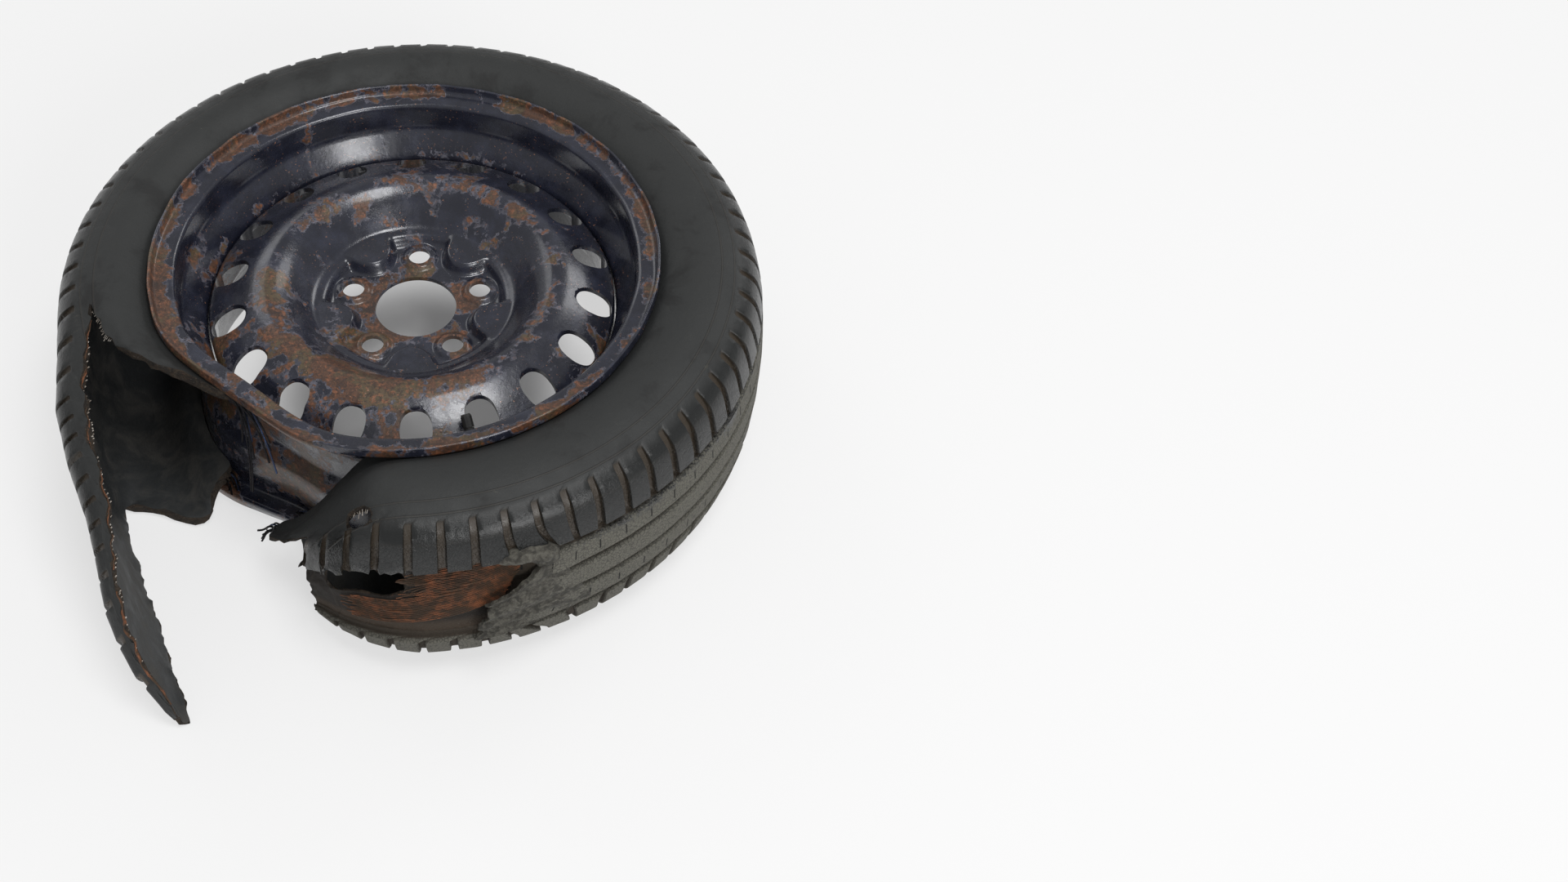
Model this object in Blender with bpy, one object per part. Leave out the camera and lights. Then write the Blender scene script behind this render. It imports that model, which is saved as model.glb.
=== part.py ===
# Steel car wheel lying flat on the floor, outer face up, with a burst tyre.
# The tyre is torn through at the front left and its tread hangs off as a strip.
# Lengths are in metres. Heights z are measured from the tyre's middle plane while a
# piece is being made. At the end everything is moved so that z = 0 is the floor.

import math

import bpy
import bmesh
from mathutils import Vector

# Tyre
TYRE_RADIUS = 0.2915
TYRE_HALF_WIDTH = 0.095
TREAD_HALF_WIDTH = 0.070
CROWN_DROP = 0.006
CARCASS_THICKNESS = 0.0115
SIDEWALL_THICKNESS = 0.009
BEAD_THICKNESS = 0.014
GROOVE_DEPTH = 0.007
GROOVE_WIDTH = 0.008
CENTRE_RIB_WIDTH = 0.022
SECOND_RIB_WIDTH = 0.021
SLOT_DEPTH = 0.0048
SLOT_SHARE = 0.24
SLOT_WALL = 0.02
PITCHES = 72

# Rim
BEAD_RADIUS = 0.1903
RIM_HALF_WIDTH = 0.0762
FLANGE_HEIGHT = 0.0173
FLANGE_CURL = 0.0115
RIM_SHEET = 0.003
BEAD_SEAT_WIDTH = 0.020
WELL_RADIUS = 0.1730
WELL_TOP = 0.038
WELL_BOTTOM = -0.006
BARREL_RADIUS = 0.1860

# Disc pressed from sheet and welded into the well
DISC_SHEET = 0.0042
HUB_FACE = 0.020
BORE_RADIUS = 0.034
PAD_RADIUS = 0.076
DISH_RADIUS = 0.0835
CROWN_RADIUS = 0.1165
CROWN_RISE = 0.038
VENT_RISE = 0.024
EMBOSS_HEIGHT = 0.006
DISC_LIP = 0.026
BOLT_CIRCLE_RADIUS = 0.056
BOLT_HOLE_RADIUS = 0.0082
COLLAR_RADIUS = 0.0138
COLLAR_HEIGHT = 0.0025
BOLTS = 5
BOLT_START = 18.0
VENTS = 18
VENT_CIRCLE_RADIUS = 0.1520
VENT_LENGTH = 0.030
VENT_WIDTH = 0.026
VENT_START = 213.9

# Valve in the upper slope of the well, on the near side
VALVE_ANGLE = 288.5
VALVE_HOLE_RADIUS = 0.0058
VALVE_STEM_RADIUS = 0.0026
VALVE_LENGTH = 0.030

# Fits
CLEARANCE = 0.0003
BEAD_FIT = 0.0004
BEAD_GRIP = 0.0026
WELL_FIT = 0.0011

# Damage: a blow flattened the rim over the burst
DENT_UPPER_ANGLE = 229.0
DENT_LOWER_ANGLE = 237.0
DENT_UPPER_DEPTH = 0.013
DENT_MIDDLE_DEPTH = 0.010
DENT_LOWER_DEPTH = 0.024
DENT_HALF_ANGLE = 30.0

# The slack tyre sits off centre on the rim
TYRE_SHIFT = (0.0060, -0.0055)

# Burst, in stations of one tread pitch counted from FIRST_ANGLE
FIRST_ANGLE = 251.0
UPPER_SPLIT = 60
LOWER_SPLIT = 63
STRIP_STATIONS = 12
TORN_DEPTH = 0.0085
TORN_END_ANGLE = 286.5
CORD_SHEET = 0.0016
CORD_RIDGES = 10
CORD_FIT = 0.0013

PITCH_ANGLE = 360.0 / PITCHES
FLANGE_TOP = BEAD_RADIUS + FLANGE_HEIGHT
CARRIER_NAME = "wheel_axis"


def smooth(value):
    value = max(0.0, min(1.0, value))
    return value * value * (3.0 - 2.0 * value)


def mix(a, b, share):
    return a + (b - a) * share


def wobble(a, b=0.0):
    """A fixed uneven number from -1 to 1 for torn edges."""
    value = math.sin(a * 12.9898 + b * 78.233 + 4.1) * 43758.5453
    return 2.0 * (value - math.floor(value)) - 1.0


def angle_gap(a, b):
    return (a - b + 180.0) % 360.0 - 180.0


def dent(radius, z, angle, inner=0.146, outer=0.167):
    """Inward push of the blow at one point of the wheel."""
    up = max(-1.0, min(1.0, z / (RIM_HALF_WIDTH + FLANGE_CURL)))
    if up > 0.0:
        depth = mix(DENT_MIDDLE_DEPTH, DENT_UPPER_DEPTH, up)
    else:
        depth = mix(DENT_MIDDLE_DEPTH, DENT_LOWER_DEPTH, -up)
    centre = mix(DENT_LOWER_ANGLE, DENT_UPPER_ANGLE, 0.5 + 0.5 * up)
    share = angle_gap(angle, centre) / DENT_HALF_ANGLE
    if abs(share) >= 1.0:
        return 0.0
    return depth * math.cos(share * math.pi / 2) ** 2 * smooth((radius - inner) / (outer - inner))


def wheel_point(radius, z, angle):
    """A point of the rim or the disc, after the blow."""
    r = radius - dent(radius, z, angle)
    a = math.radians(angle)
    return Vector((r * math.cos(a), r * math.sin(a), z))


def make_material(name, colour, roughness, metallic):
    material = bpy.data.materials.new(name)
    material.use_nodes = True
    shader = material.node_tree.nodes["Principled BSDF"]
    shader.inputs["Base Color"].default_value = (*colour, 1.0)
    shader.inputs["Roughness"].default_value = roughness
    shader.inputs["Metallic"].default_value = metallic
    material.diffuse_color = (*colour, 1.0)
    return material


def add_body(name, points, faces, material, sharp=35.0):
    mesh = bpy.data.meshes.new(name)
    mesh.from_pydata([tuple(p) for p in points], [], faces)
    work = bmesh.new()
    work.from_mesh(mesh)
    bmesh.ops.recalc_face_normals(work, faces=work.faces[:])
    if work.calc_volume(signed=True) < 0.0:
        bmesh.ops.reverse_faces(work, faces=work.faces[:])
    work.to_mesh(mesh)
    work.free()
    mesh.materials.append(material)
    mesh.shade_smooth()
    mesh.set_sharp_from_angle(angle=math.radians(sharp))
    body = bpy.data.objects.new(name, mesh)
    bpy.context.collection.objects.link(body)
    body.parent = bpy.data.objects[CARRIER_NAME]
    return body


def cut(body, cutter, operation="DIFFERENCE"):
    cutter.hide_render = True
    cutter.display_type = "WIRE"
    step = body.modifiers.new(cutter.name, "BOOLEAN")
    step.object = cutter
    step.operation = operation
    step.solver = "EXACT"


# Tyre section


def crown(z):
    return TYRE_RADIUS - CROWN_DROP * (z / TREAD_HALF_WIDTH) ** 2


def upper_rows():
    """Rows of the tyre from the upper bead to the middle rib.

    Each row has its outer radius and height, its inner radius and height when the inner
    skin has a row there, the depth of the shoulder slot and whether it is cut by slots.
    """
    seat = BEAD_RADIUS + BEAD_FIT
    face = RIM_HALF_WIDTH - BEAD_FIT
    bulge = TYRE_HALF_WIDTH - RIM_HALF_WIDTH
    side = TYRE_RADIUS - FLANGE_TOP
    wall = SIDEWALL_THICKNESS
    edge = TREAD_HALF_WIDTH
    outer_groove = CENTRE_RIB_WIDTH / 2 + GROOVE_WIDTH + SECOND_RIB_WIDTH
    second = CENTRE_RIB_WIDTH / 2 + GROOVE_WIDTH
    floor_a = crown(outer_groove) - GROOVE_DEPTH
    floor_b = crown(second) - GROOVE_DEPTH
    back = TYRE_RADIUS - CARCASS_THICKNESS
    slope = 0.001
    rows = [
        ("heel", seat + 0.0006, face, (seat, face - BEAD_THICKNESS - 0.005), 0.0, False),
        ("flange", FLANGE_TOP - 0.0018, face, (FLANGE_TOP - 0.001, face - BEAD_THICKNESS), 0.0, False),
        ("rim_line", FLANGE_TOP + 0.0055, face + bulge * 0.38,
         (FLANGE_TOP + 0.0065, face + bulge * 0.38 - wall - 0.002), 0.0, False),
        ("side", FLANGE_TOP + side * 0.31, face + bulge * 0.99,
         (FLANGE_TOP + side * 0.30, face + bulge * 0.99 - wall), 0.0, False),
        ("tear", FLANGE_TOP + side * 0.55, face + bulge * 0.86,
         (FLANGE_TOP + side * 0.53, face + bulge * 0.86 - wall), 0.0, False),
        ("slot_end", FLANGE_TOP + side * 0.72, face + bulge * 0.52,
         (FLANGE_TOP + side * 0.68, face + bulge * 0.52 - wall - 0.001), 0.0, True),
        ("shoulder", FLANGE_TOP + side * 0.86, edge + 0.0075, None, SLOT_DEPTH * 0.9, True),
        ("tread_edge", crown(edge) - 0.001, edge - 0.003, None, SLOT_DEPTH, True),
        ("groove_edge", crown(outer_groove + GROOVE_WIDTH), outer_groove + GROOVE_WIDTH,
         (back - 0.0015, outer_groove + GROOVE_WIDTH - 0.003), SLOT_DEPTH, True),
        ("groove_floor_a", floor_a, outer_groove + GROOVE_WIDTH - slope, None, 0.0, False),
        ("groove_floor_b", floor_a, outer_groove + slope, None, 0.0, False),
        ("rib_a", crown(outer_groove), outer_groove, None, 0.0, False),
        ("rib_b", crown(second), second, None, 0.0, False),
        ("centre_floor_a", floor_b, second - slope, None, 0.0, False),
        ("centre_floor_b", floor_b, second - GROOVE_WIDTH + slope, None, 0.0, False),
        ("centre_rib", crown(second - GROOVE_WIDTH), second - GROOVE_WIDTH,
         (back, second - GROOVE_WIDTH - 0.001), 0.0, False),
    ]
    return rows


def all_rows():
    rows = []
    for name, r, z, inner, slot, fine in upper_rows():
        rows.append({"name": "u_" + name, "r": r, "z": z, "inner": inner, "slot": slot, "fine": fine})
    for row in reversed(rows[:]):
        inner = row["inner"]
        if inner is not None:
            inner = (inner[0], -inner[1])
        rows.append({"name": "l_" + row["name"][2:], "r": row["r"], "z": -row["z"], "inner": inner,
                     "slot": row["slot"], "fine": row["fine"]})
    return rows


ROWS = all_rows()
ROW_NAMES = [row["name"] for row in ROWS]
TEAR_ROW = ROW_NAMES.index("u_tear")
LOWER_TEAR_ROW = ROW_NAMES.index("l_slot_end")


def angle_at(station):
    return FIRST_ANGLE + PITCH_ANGLE * station


def collapse(radius, z, angle):
    """The torn end on the right has sunk and is tucked in toward the rim."""
    turn = angle
    if turn > 274.0:
        return radius, z
    fall = smooth((270.0 - turn) / 32.0)
    start = FLANGE_TOP - BEAD_GRIP
    outer = smooth((radius - start) / (TYRE_RADIUS - start))
    tuck = 0.066 * ((272.0 - turn) / 31.0) ** 1.6 if turn < 272.0 else 0.0
    floor = -TYRE_HALF_WIDTH
    squeeze = 1.0 - 0.66 * fall
    if z < 0.0:
        squeeze = mix(1.0, squeeze, smooth((radius - FLANGE_TOP - 0.004) / 0.030))
    sunk = floor + (z - floor) * squeeze
    free = smooth((264.0 - turn) / 20.0) * (1.0 - outer) * smooth((z + 0.03) / 0.09)
    return radius - tuck * outer + 0.026 * free, sunk


def skin(radius, z, angle):
    """A point of the tyre while it is still on the wheel."""
    r, height = collapse(radius, z, angle)
    bead = 1.0 - smooth((radius - FLANGE_TOP) / 0.040)
    r = r - dent(BEAD_RADIUS, z, angle) * bead
    a = math.radians(angle)
    slack = smooth((radius - FLANGE_TOP - 0.006) / 0.045)
    x = r * math.cos(a) + TYRE_SHIFT[0] * slack
    y = r * math.sin(a) + TYRE_SHIFT[1] * slack
    return Vector((x, y, height))


# Edges of the torn strip, wheel axis at x = y = 0: station, lower edge, upper edge,
# how much of the tread's bulge is left and how thick the band still is.
STRIP_PATH = (
    (63.0, (-0.2460, -0.1290, -0.0945), (-0.2400, -0.1350, 0.0780), 0.70, 1.00),
    (66.0, (-0.2310, -0.1730, -0.0948), (-0.2270, -0.1830, 0.0700), 0.55, 1.00),
    (68.5, (-0.2130, -0.2160, -0.0948), (-0.2110, -0.2270, 0.0590), 0.46, 0.94),
    (70.5, (-0.1990, -0.2460, -0.0947), (-0.2050, -0.2600, 0.0410), 0.40, 0.86),
    (72.3, (-0.1860, -0.2780, -0.0946), (-0.2030, -0.2900, 0.0120), 0.32, 0.76),
    (73.8, (-0.1740, -0.3060, -0.0945), (-0.1940, -0.3140, -0.0280), 0.24, 0.62),
    (75.0, (-0.1630, -0.3320, -0.0940), (-0.1700, -0.3350, -0.0790), 0.12, 0.40),
)


def strip_frame(station):
    for a, b in zip(STRIP_PATH, STRIP_PATH[1:]):
        if station <= b[0]:
            break
    share = (station - a[0]) / (b[0] - a[0])
    low = Vector(a[1]).lerp(Vector(b[1]), share)
    high = Vector(a[2]).lerp(Vector(b[2]), share)
    along = Vector(b[1]) - Vector(a[1])
    along = (along + (Vector(b[2]) - Vector(a[2]))).normalized()
    return low, high, along, mix(a[3], b[3], share), mix(a[4], b[4], share)


def band_point(radius, z, station, back):
    """A point of the tread band beyond the split, back being the inner skin's radius there."""
    lower = ROWS[LOWER_TEAR_ROW]
    upper = ROWS[TEAR_ROW]
    up = (z - lower["z"]) / (upper["z"] - lower["z"])
    chord = mix(lower["r"], upper["r"], up)
    if station >= LOWER_SPLIT:
        low, high, along, bulge, thick = strip_frame(station)
        outward = (high - low).cross(along).normalized()
        if outward.dot(low) < 0.0:
            outward = -outward
    else:
        share = (station - UPPER_SPLIT) / (LOWER_SPLIT - UPPER_SPLIT)
        a = math.radians(angle_at(UPPER_SPLIT))
        low_0 = skin(lower["r"], lower["z"], angle_at(UPPER_SPLIT))
        high_0 = skin(upper["r"], upper["z"], angle_at(UPPER_SPLIT))
        low_1, high_1, along, bulge, thick = strip_frame(float(LOWER_SPLIT))
        bulge = mix(1.0, bulge, share)
        low = low_0.lerp(low_1, share)
        high = high_0.lerp(high_1, share)
        out_0 = Vector((math.cos(a), math.sin(a), 0.0))
        out_1 = (high_1 - low_1).cross(along).normalized()
        if out_1.dot(low_1) < 0.0:
            out_1 = -out_1
        outward = out_0.lerp(out_1, share).normalized()
    return low.lerp(high, up) + outward * ((back - chord) * bulge + (radius - back) * thick)


# First and last station of each row, so that the torn ends run as on the real tyre.
UPPER_WALL_START = {"u_heel": -2, "u_flange": -2, "u_rim_line": -2, "u_side": -1}
LOWER_WALL_START = {"l_heel": -2, "l_flange": -2, "l_rim_line": -2, "l_side": -1}
UPPER_WALL_END = {"u_heel": 67, "u_flange": 67, "u_rim_line": 65, "u_side": 64, "u_tear": 62}
LOWER_WALL_END = {"l_heel": 65, "l_flange": 65, "l_rim_line": 65, "l_side": 66, "l_tear": 64}
HOLE_STATIONS = (1, 2, 3)
SIDE_TEAR_STATIONS = (2,)
HOLE_ROWS = (ROW_NAMES.index("u_groove_edge"), ROW_NAMES.index("u_centre_rib"))


def torn(z, angle):
    """The tread rubber is gone over the exposed cords."""
    turn = angle
    second = CENTRE_RIB_WIDTH / 2 + GROOVE_WIDTH
    top = second + SECOND_RIB_WIDTH + GROOVE_WIDTH - 0.0005
    bottom = -second - SECOND_RIB_WIDTH - 0.0005
    if turn > TORN_END_ANGLE or turn < 240.0 or z > top or z < bottom:
        return 0.0
    return TORN_DEPTH


def outer_place(row, station):
    """Outer skin at a station, which may lie between two pitches."""
    info = ROWS[row]
    angle = angle_at(station)
    r = info["r"]
    z = info["z"]
    part = station - math.floor(station)
    if info["fine"] and SLOT_WALL - 1e-6 < part < SLOT_SHARE + 1e-6:
        r -= info["slot"]
    missing = torn(z, angle)
    if missing:
        r = crown(z) - missing
    elif 8 <= station <= 8.5 and abs(z) < 0.042:
        r += 0.0035 if abs(z) > 0.012 else 0.002
    return r, z, angle


def back_radius(row):
    """Radius of the inner skin behind a row."""
    info = ROWS[row]
    if info["inner"] is not None:
        return info["inner"][0]
    before = row
    while ROWS[before]["inner"] is None:
        before -= 1
    after = row
    while ROWS[after]["inner"] is None:
        after += 1
    a = ROWS[before]
    b = ROWS[after]
    return mix(a["inner"][0], b["inner"][0], (info["z"] - a["z"]) / (b["z"] - a["z"]))


def place(row, station, layer, loose):
    """Point of one skin: layer "out" or "in", loose when it belongs to a freed wall."""
    info = ROWS[row]
    band = TEAR_ROW <= row <= LOWER_TEAR_ROW and not loose
    r, z, angle = outer_place(row, station)
    if layer == "in":
        r, z = info["inner"]
    if band and station > UPPER_SPLIT:
        return band_point(r, z, station, back_radius(row))
    if row == TEAR_ROW and loose:
        r -= 0.004 * (station - UPPER_SPLIT)
        z -= 0.003 * (station - UPPER_SPLIT)
    return skin(r, z, angle)


class Shell:
    """Outer and inner skin of the tyre, closed along every torn edge."""

    def __init__(self):
        self.points = []
        self.index = {}
        self.partner = {}
        self.outer = []
        self.inner = []

    def vertex(self, row, station, layer, loose):
        key = (row, round(station * 1000), layer, loose)
        if key not in self.index:
            self.index[key] = len(self.points)
            self.points.append(place(row, station, layer, loose))
        return self.index[key]

    def out(self, row, station, loose=""):
        vertex = self.vertex(row, station, "out", loose)
        major = row
        step = -1 if row < len(ROWS) // 2 else 1
        while ROWS[major]["inner"] is None:
            major += step
        if vertex not in self.partner:
            self.partner[vertex] = self.vertex(major, math.floor(station + 1e-6), "in", loose)
        return vertex

    def fan(self, chain_a, chain_b, faces):
        """Triangles between two runs of vertices that start and end side by side."""
        i = 0
        j = 0
        while i < len(chain_a) - 1 or j < len(chain_b) - 1:
            done_a = i / max(1, len(chain_a) - 1)
            done_b = j / max(1, len(chain_b) - 1)
            if j == len(chain_b) - 1 or (i < len(chain_a) - 1 and done_a <= done_b):
                faces.append((chain_a[i], chain_a[i + 1], chain_b[j]))
                i += 1
            else:
                faces.append((chain_a[i], chain_b[j + 1], chain_b[j]))
                j += 1

    def run(self, row, first, last, layer, loose):
        """Vertices of a row from one station to another."""
        found = []
        for station in range(first, last + 1):
            name = loose if self.is_loose(row, station, loose) else ""
            if layer == "out":
                found.append(self.out(row, station, name))
            else:
                found.append(self.vertex(row, station, "in", name))
            if layer == "out" and ROWS[row]["fine"] and station < last:
                for part in (SLOT_WALL, SLOT_SHARE, SLOT_SHARE + SLOT_WALL):
                    found.append(self.out(row, station + part, name))
        return found

    def is_loose(self, row, station, loose):
        return loose != "" and row == TEAR_ROW and station > UPPER_SPLIT

    def lace(self, row_a, row_b, first, last, layer, loose, faces, skip=()):
        for station in range(first, last):
            if station in skip:
                continue
            a = self.run(row_a, station, station + 1, layer, loose)
            b = self.run(row_b, station, station + 1, layer, loose)
            if len(a) == len(b):
                for k in range(len(a) - 1):
                    faces.append((a[k], a[k + 1], b[k + 1], b[k]))
            else:
                self.fan(a, b, faces)

    def sheet(self, row_a, row_b, span_a, span_b, layer, loose, skip=()):
        """One strip of a skin, with slanted ends where its two rows end apart."""
        faces = self.outer if layer == "out" else self.inner
        first = max(span_a[0], span_b[0])
        last = min(span_a[1], span_b[1])
        self.lace(row_a, row_b, first, last, layer, loose, faces, skip)
        for a, b, span_x, span_y in ((row_a, row_b, span_a, span_b), (row_b, row_a, span_b, span_a)):
            if span_x[0] < first:
                chain = self.run(a, span_x[0], first, layer, loose)
                self.fan(chain, self.run(b, first, first, layer, loose), faces)
            if span_x[1] > last:
                chain = self.run(a, last, span_x[1], layer, loose)
                self.fan(chain, self.run(b, last, last, layer, loose), faces)

    def walls(self):
        """Torn faces between the skins along every open edge of the outer skin."""
        seen = {}
        for face in self.outer:
            for k in range(len(face)):
                a = face[k]
                b = face[(k + 1) % len(face)]
                seen.setdefault(frozenset((a, b)), []).append((a, b))
        found = []
        for pairs in seen.values():
            if len(pairs) != 1:
                continue
            a, b = pairs[0]
            pa = self.partner[a]
            pb = self.partner[b]
            if pa == pb:
                found.append((a, b, pa))
            else:
                found.append((a, b, pb, pa))
        return found


def row_span(name):
    start = 0
    if name in UPPER_WALL_START:
        start = UPPER_WALL_START[name]
    if name in LOWER_WALL_START:
        start = LOWER_WALL_START[name]
    end = LOWER_SPLIT + STRIP_STATIONS
    if name in UPPER_WALL_END:
        end = UPPER_WALL_END[name]
    if name in LOWER_WALL_END:
        end = LOWER_WALL_END[name]
    return (start, end)


def fill_layer(shell, layer):
    if layer == "out":
        used = list(range(len(ROWS)))
    else:
        used = [k for k in range(len(ROWS)) if ROWS[k]["inner"] is not None]
    for a, b in zip(used, used[1:]):
        span_a = row_span(ROW_NAMES[a])
        span_b = row_span(ROW_NAMES[b])
        skip = ()
        if HOLE_ROWS[0] <= a and b <= HOLE_ROWS[1]:
            skip = HOLE_STATIONS
        if a == TEAR_ROW:
            skip = SIDE_TEAR_STATIONS
        if b == TEAR_ROW:
            shell.sheet(a, b, span_a, span_b, layer, "free_upper")
        elif b <= TEAR_ROW:
            shell.sheet(a, b, span_a, span_b, layer, "")
        elif a == TEAR_ROW:
            shell.sheet(a, b, (0, LOWER_SPLIT + STRIP_STATIONS), span_b, layer, "", skip)
        elif a == LOWER_TEAR_ROW:
            shell.sheet(a, b, (span_a[0], LOWER_SPLIT), span_b, layer, "")
        else:
            shell.sheet(a, b, span_a, span_b, layer, "", skip)


BEAD_ENDS = (
    ("bead_wires_right_upper", "u", -2, 1),
    ("bead_wires_right_lower", "l", -2, 1),
    ("bead_wires_left_upper", "u", 67, -1),
    ("bead_wires_left_lower", "l", 65, -1),
)
POCKET_SHARE = 0.56
POCKET_STATIONS = 0.62


def bead_section(side, station, share):
    """Corners of a smaller section inside the bead at a station."""
    heel = ROW_NAMES.index(side + "_heel")
    flange = ROW_NAMES.index(side + "_flange")
    corners = []
    for row, layer in ((heel, "out"), (flange, "out"), (flange, "in"), (heel, "in")):
        corners.append(place(row, station, layer, ""))
    centre = sum(corners, Vector()) / 4.0
    return [centre.lerp(corner, share) for corner in corners]


def make_tyre(material):
    shell = Shell()
    fill_layer(shell, "out")
    fill_layer(shell, "in")
    faces = shell.outer + shell.inner + shell.walls()
    # The bead bases, from heel to toe, close the section against the rim.
    for side in ("u", "l"):
        heel = ROW_NAMES.index(side + "_heel")
        first, last = row_span(side + "_heel")
        known = {frozenset(face) for face in faces if len(face) == 4}
        for station in range(first, last):
            a = shell.out(heel, station)
            b = shell.out(heel, station + 1)
            face = (a, b, shell.partner[b], shell.partner[a])
            if frozenset(face) not in known:
                faces.append(face)
    # A pocket in each bead end where its wires have pulled out.
    points = shell.points
    for _, side, station, into in BEAD_ENDS:
        heel = ROW_NAMES.index(side + "_heel")
        flange = ROW_NAMES.index(side + "_flange")
        ring = [shell.out(heel, station), shell.out(flange, station)]
        ring += [shell.partner[ring[1]], shell.partner[ring[0]]]
        faces = [face for face in faces if frozenset(face) != frozenset(ring)]
        levels = [ring]
        for depth in (0.0, POCKET_STATIONS):
            level = []
            for corner in bead_section(side, station + into * depth, POCKET_SHARE):
                level.append(len(points))
                points.append(corner)
            levels.append(level)
        for near, far in zip(levels, levels[1:]):
            for k in range(4):
                n = (k + 1) % 4
                faces.append((near[k], near[n], far[n], far[k]))
        faces.append(tuple(levels[-1]))
    return add_body("tyre", points, faces, material, 40.0)


def make_bead_wires(name, side, station, into, material):
    """Broken bead wires, held together in the pocket and splayed outside it."""
    deep = station + into * (POCKET_STATIONS - 0.04)
    share = POCKET_SHARE * 0.84
    back = bead_section(side, deep, share)
    front = bead_section(side, station, share)
    out_way = (sum(front, Vector()) - sum(back, Vector())).normalized()
    columns = 3
    rows = 2
    points = list(back)
    faces = [(0, 1, 2, 3)]

    def grid_corner(i, j, gap=0.0):
        u = i / columns
        v = j / rows
        return front[0].lerp(front[1], u).lerp(front[3].lerp(front[2], u), v)

    grid = {}
    for i in range(columns + 1):
        for j in range(rows + 1):
            grid[(i, j)] = len(points)
            points.append(grid_corner(i, j))
    faces.append(tuple([0, 1] + [grid[(i, 0)] for i in range(columns, -1, -1)]))
    faces.append(tuple([1, 2] + [grid[(columns, j)] for j in range(rows, -1, -1)]))
    faces.append(tuple([2, 3] + [grid[(i, rows)] for i in range(0, columns + 1)]))
    faces.append(tuple([3, 0] + [grid[(0, j)] for j in range(0, rows + 1)]))
    side_way = (front[1] - front[0]).normalized()
    up_way = (front[3] - front[0]).normalized()
    for i in range(columns):
        for j in range(rows):
            cell = [grid[(i, j)], grid[(i + 1, j)], grid[(i + 1, j + 1)], grid[(i, j + 1)]]
            if (i + j) % 2 == 1:
                faces.append(tuple(cell))
                continue
            centre = sum((points[k] for k in cell), Vector()) / 4.0
            half = 0.0008
            bend = side_way * wobble(i, j + station) * 0.4 + up_way * wobble(i + 7, j + station) * 0.4
            bend += Vector((centre.x, centre.y, 0.0)).normalized() * 0.8
            length = 0.016 + 0.010 * abs(wobble(i + 3, j + 2 + station))
            ring = cell
            for step in range(5):
                along = step / 4
                middle = centre + out_way * length * along + bend * length * along * along
                new = []
                for a, b in ((-1, -1), (1, -1), (1, 1), (-1, 1)):
                    new.append(len(points))
                    points.append(middle + side_way * half * a + up_way * half * b)
                for k in range(4):
                    n = (k + 1) % 4
                    faces.append((ring[k], ring[n], new[n], new[k]))
                ring = new
            faces.append(tuple(ring))
    return add_body(name, points, faces, material)


def make_belt_cords(material):
    """Rusty steel cords of the belt, laid bare where the tread rubber tore off."""
    second = CENTRE_RIB_WIDTH / 2 + GROOVE_WIDTH
    top = second + SECOND_RIB_WIDTH + GROOVE_WIDTH - 0.0030
    bottom = -second - SECOND_RIB_WIDTH * 0.45
    hole_edge = second - GROOVE_WIDTH
    columns = 2 * CORD_RIDGES
    turns = [260.5, 263.0, 266.0, 269.0, 272.0, 275.0, 278.5, 282.0, TORN_END_ANGLE - 1.2]
    late = 4
    points = []
    lower = {}
    upper = {}
    begins = []
    for i in range(columns + 1):
        z = mix(top, bottom, i / columns)
        ridge = i % 2 == 1
        begin = late if z > hole_edge - 0.002 else 0
        begins.append(begin)
        for j in range(begin, len(turns)):
            angle = turns[j]
            if j == begin:
                angle -= 1.2 + 1.6 * abs(wobble(i, 1)) if ridge else 0.3
            base = crown(z) - TORN_DEPTH + CORD_FIT
            height = CORD_SHEET if ridge else CORD_SHEET * 0.45
            lower[(i, j)] = len(points)
            points.append(skin(base, z, angle))
            upper[(i, j)] = len(points)
            points.append(skin(base + height, z, angle))
    faces = []
    open_edges = {}
    for i in range(columns):
        for j in range(max(begins[i], begins[i + 1]), len(turns) - 1):
            ring = [(i, j), (i, j + 1), (i + 1, j + 1), (i + 1, j)]
            faces.append(tuple(upper[k] for k in ring))
            faces.append(tuple(lower[k] for k in reversed(ring)))
            for k in range(4):
                edge = (ring[k], ring[(k + 1) % 4])
                open_edges.setdefault(frozenset(edge), []).append(edge)
    for found in open_edges.values():
        if len(found) == 1:
            start, end = found[0]
            faces.append((upper[end], upper[start], lower[start], lower[end]))
    return add_body("belt_cords", points, faces, material, 30.0)


# Rim


def rim_section():
    """Closed outline of the rolled rim sheet: tyre side from top to bottom, then back up."""
    t = RIM_SHEET
    face = RIM_HALF_WIDTH
    top = face + FLANGE_CURL
    tip = FLANGE_TOP
    seat_end = face - BEAD_SEAT_WIDTH
    tyre_side = [
        (tip, face + 0.0030),
        (tip - 0.0024, face),
        (BEAD_RADIUS, face),
        (BEAD_RADIUS, seat_end - 0.004),
        (WELL_RADIUS, WELL_TOP - 0.010),
        (WELL_RADIUS, WELL_BOTTOM),
        (BARREL_RADIUS, WELL_BOTTOM - 0.022),
        (BEAD_RADIUS, -seat_end),
        (BEAD_RADIUS, -face),
        (tip - 0.0024, -face),
        (tip, -face - 0.0030),
    ]
    hub_side = [
        (tip - 0.0006, -top),
        (tip - t, -top),
        (tip - t - 0.0006, -face - t),
        (BEAD_RADIUS - t, -face - t),
        (BARREL_RADIUS - t, WELL_BOTTOM - 0.0235),
        (WELL_RADIUS - t, WELL_BOTTOM - 0.001),
        (WELL_RADIUS - t, WELL_TOP - 0.0085),
        (BEAD_RADIUS - t, seat_end - 0.003),
        (BEAD_RADIUS - t, face + t),
        (tip - t - 0.0006, face + t),
        (tip - t, top),
        (tip - 0.0006, top),
    ]
    return tyre_side + hub_side


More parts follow.
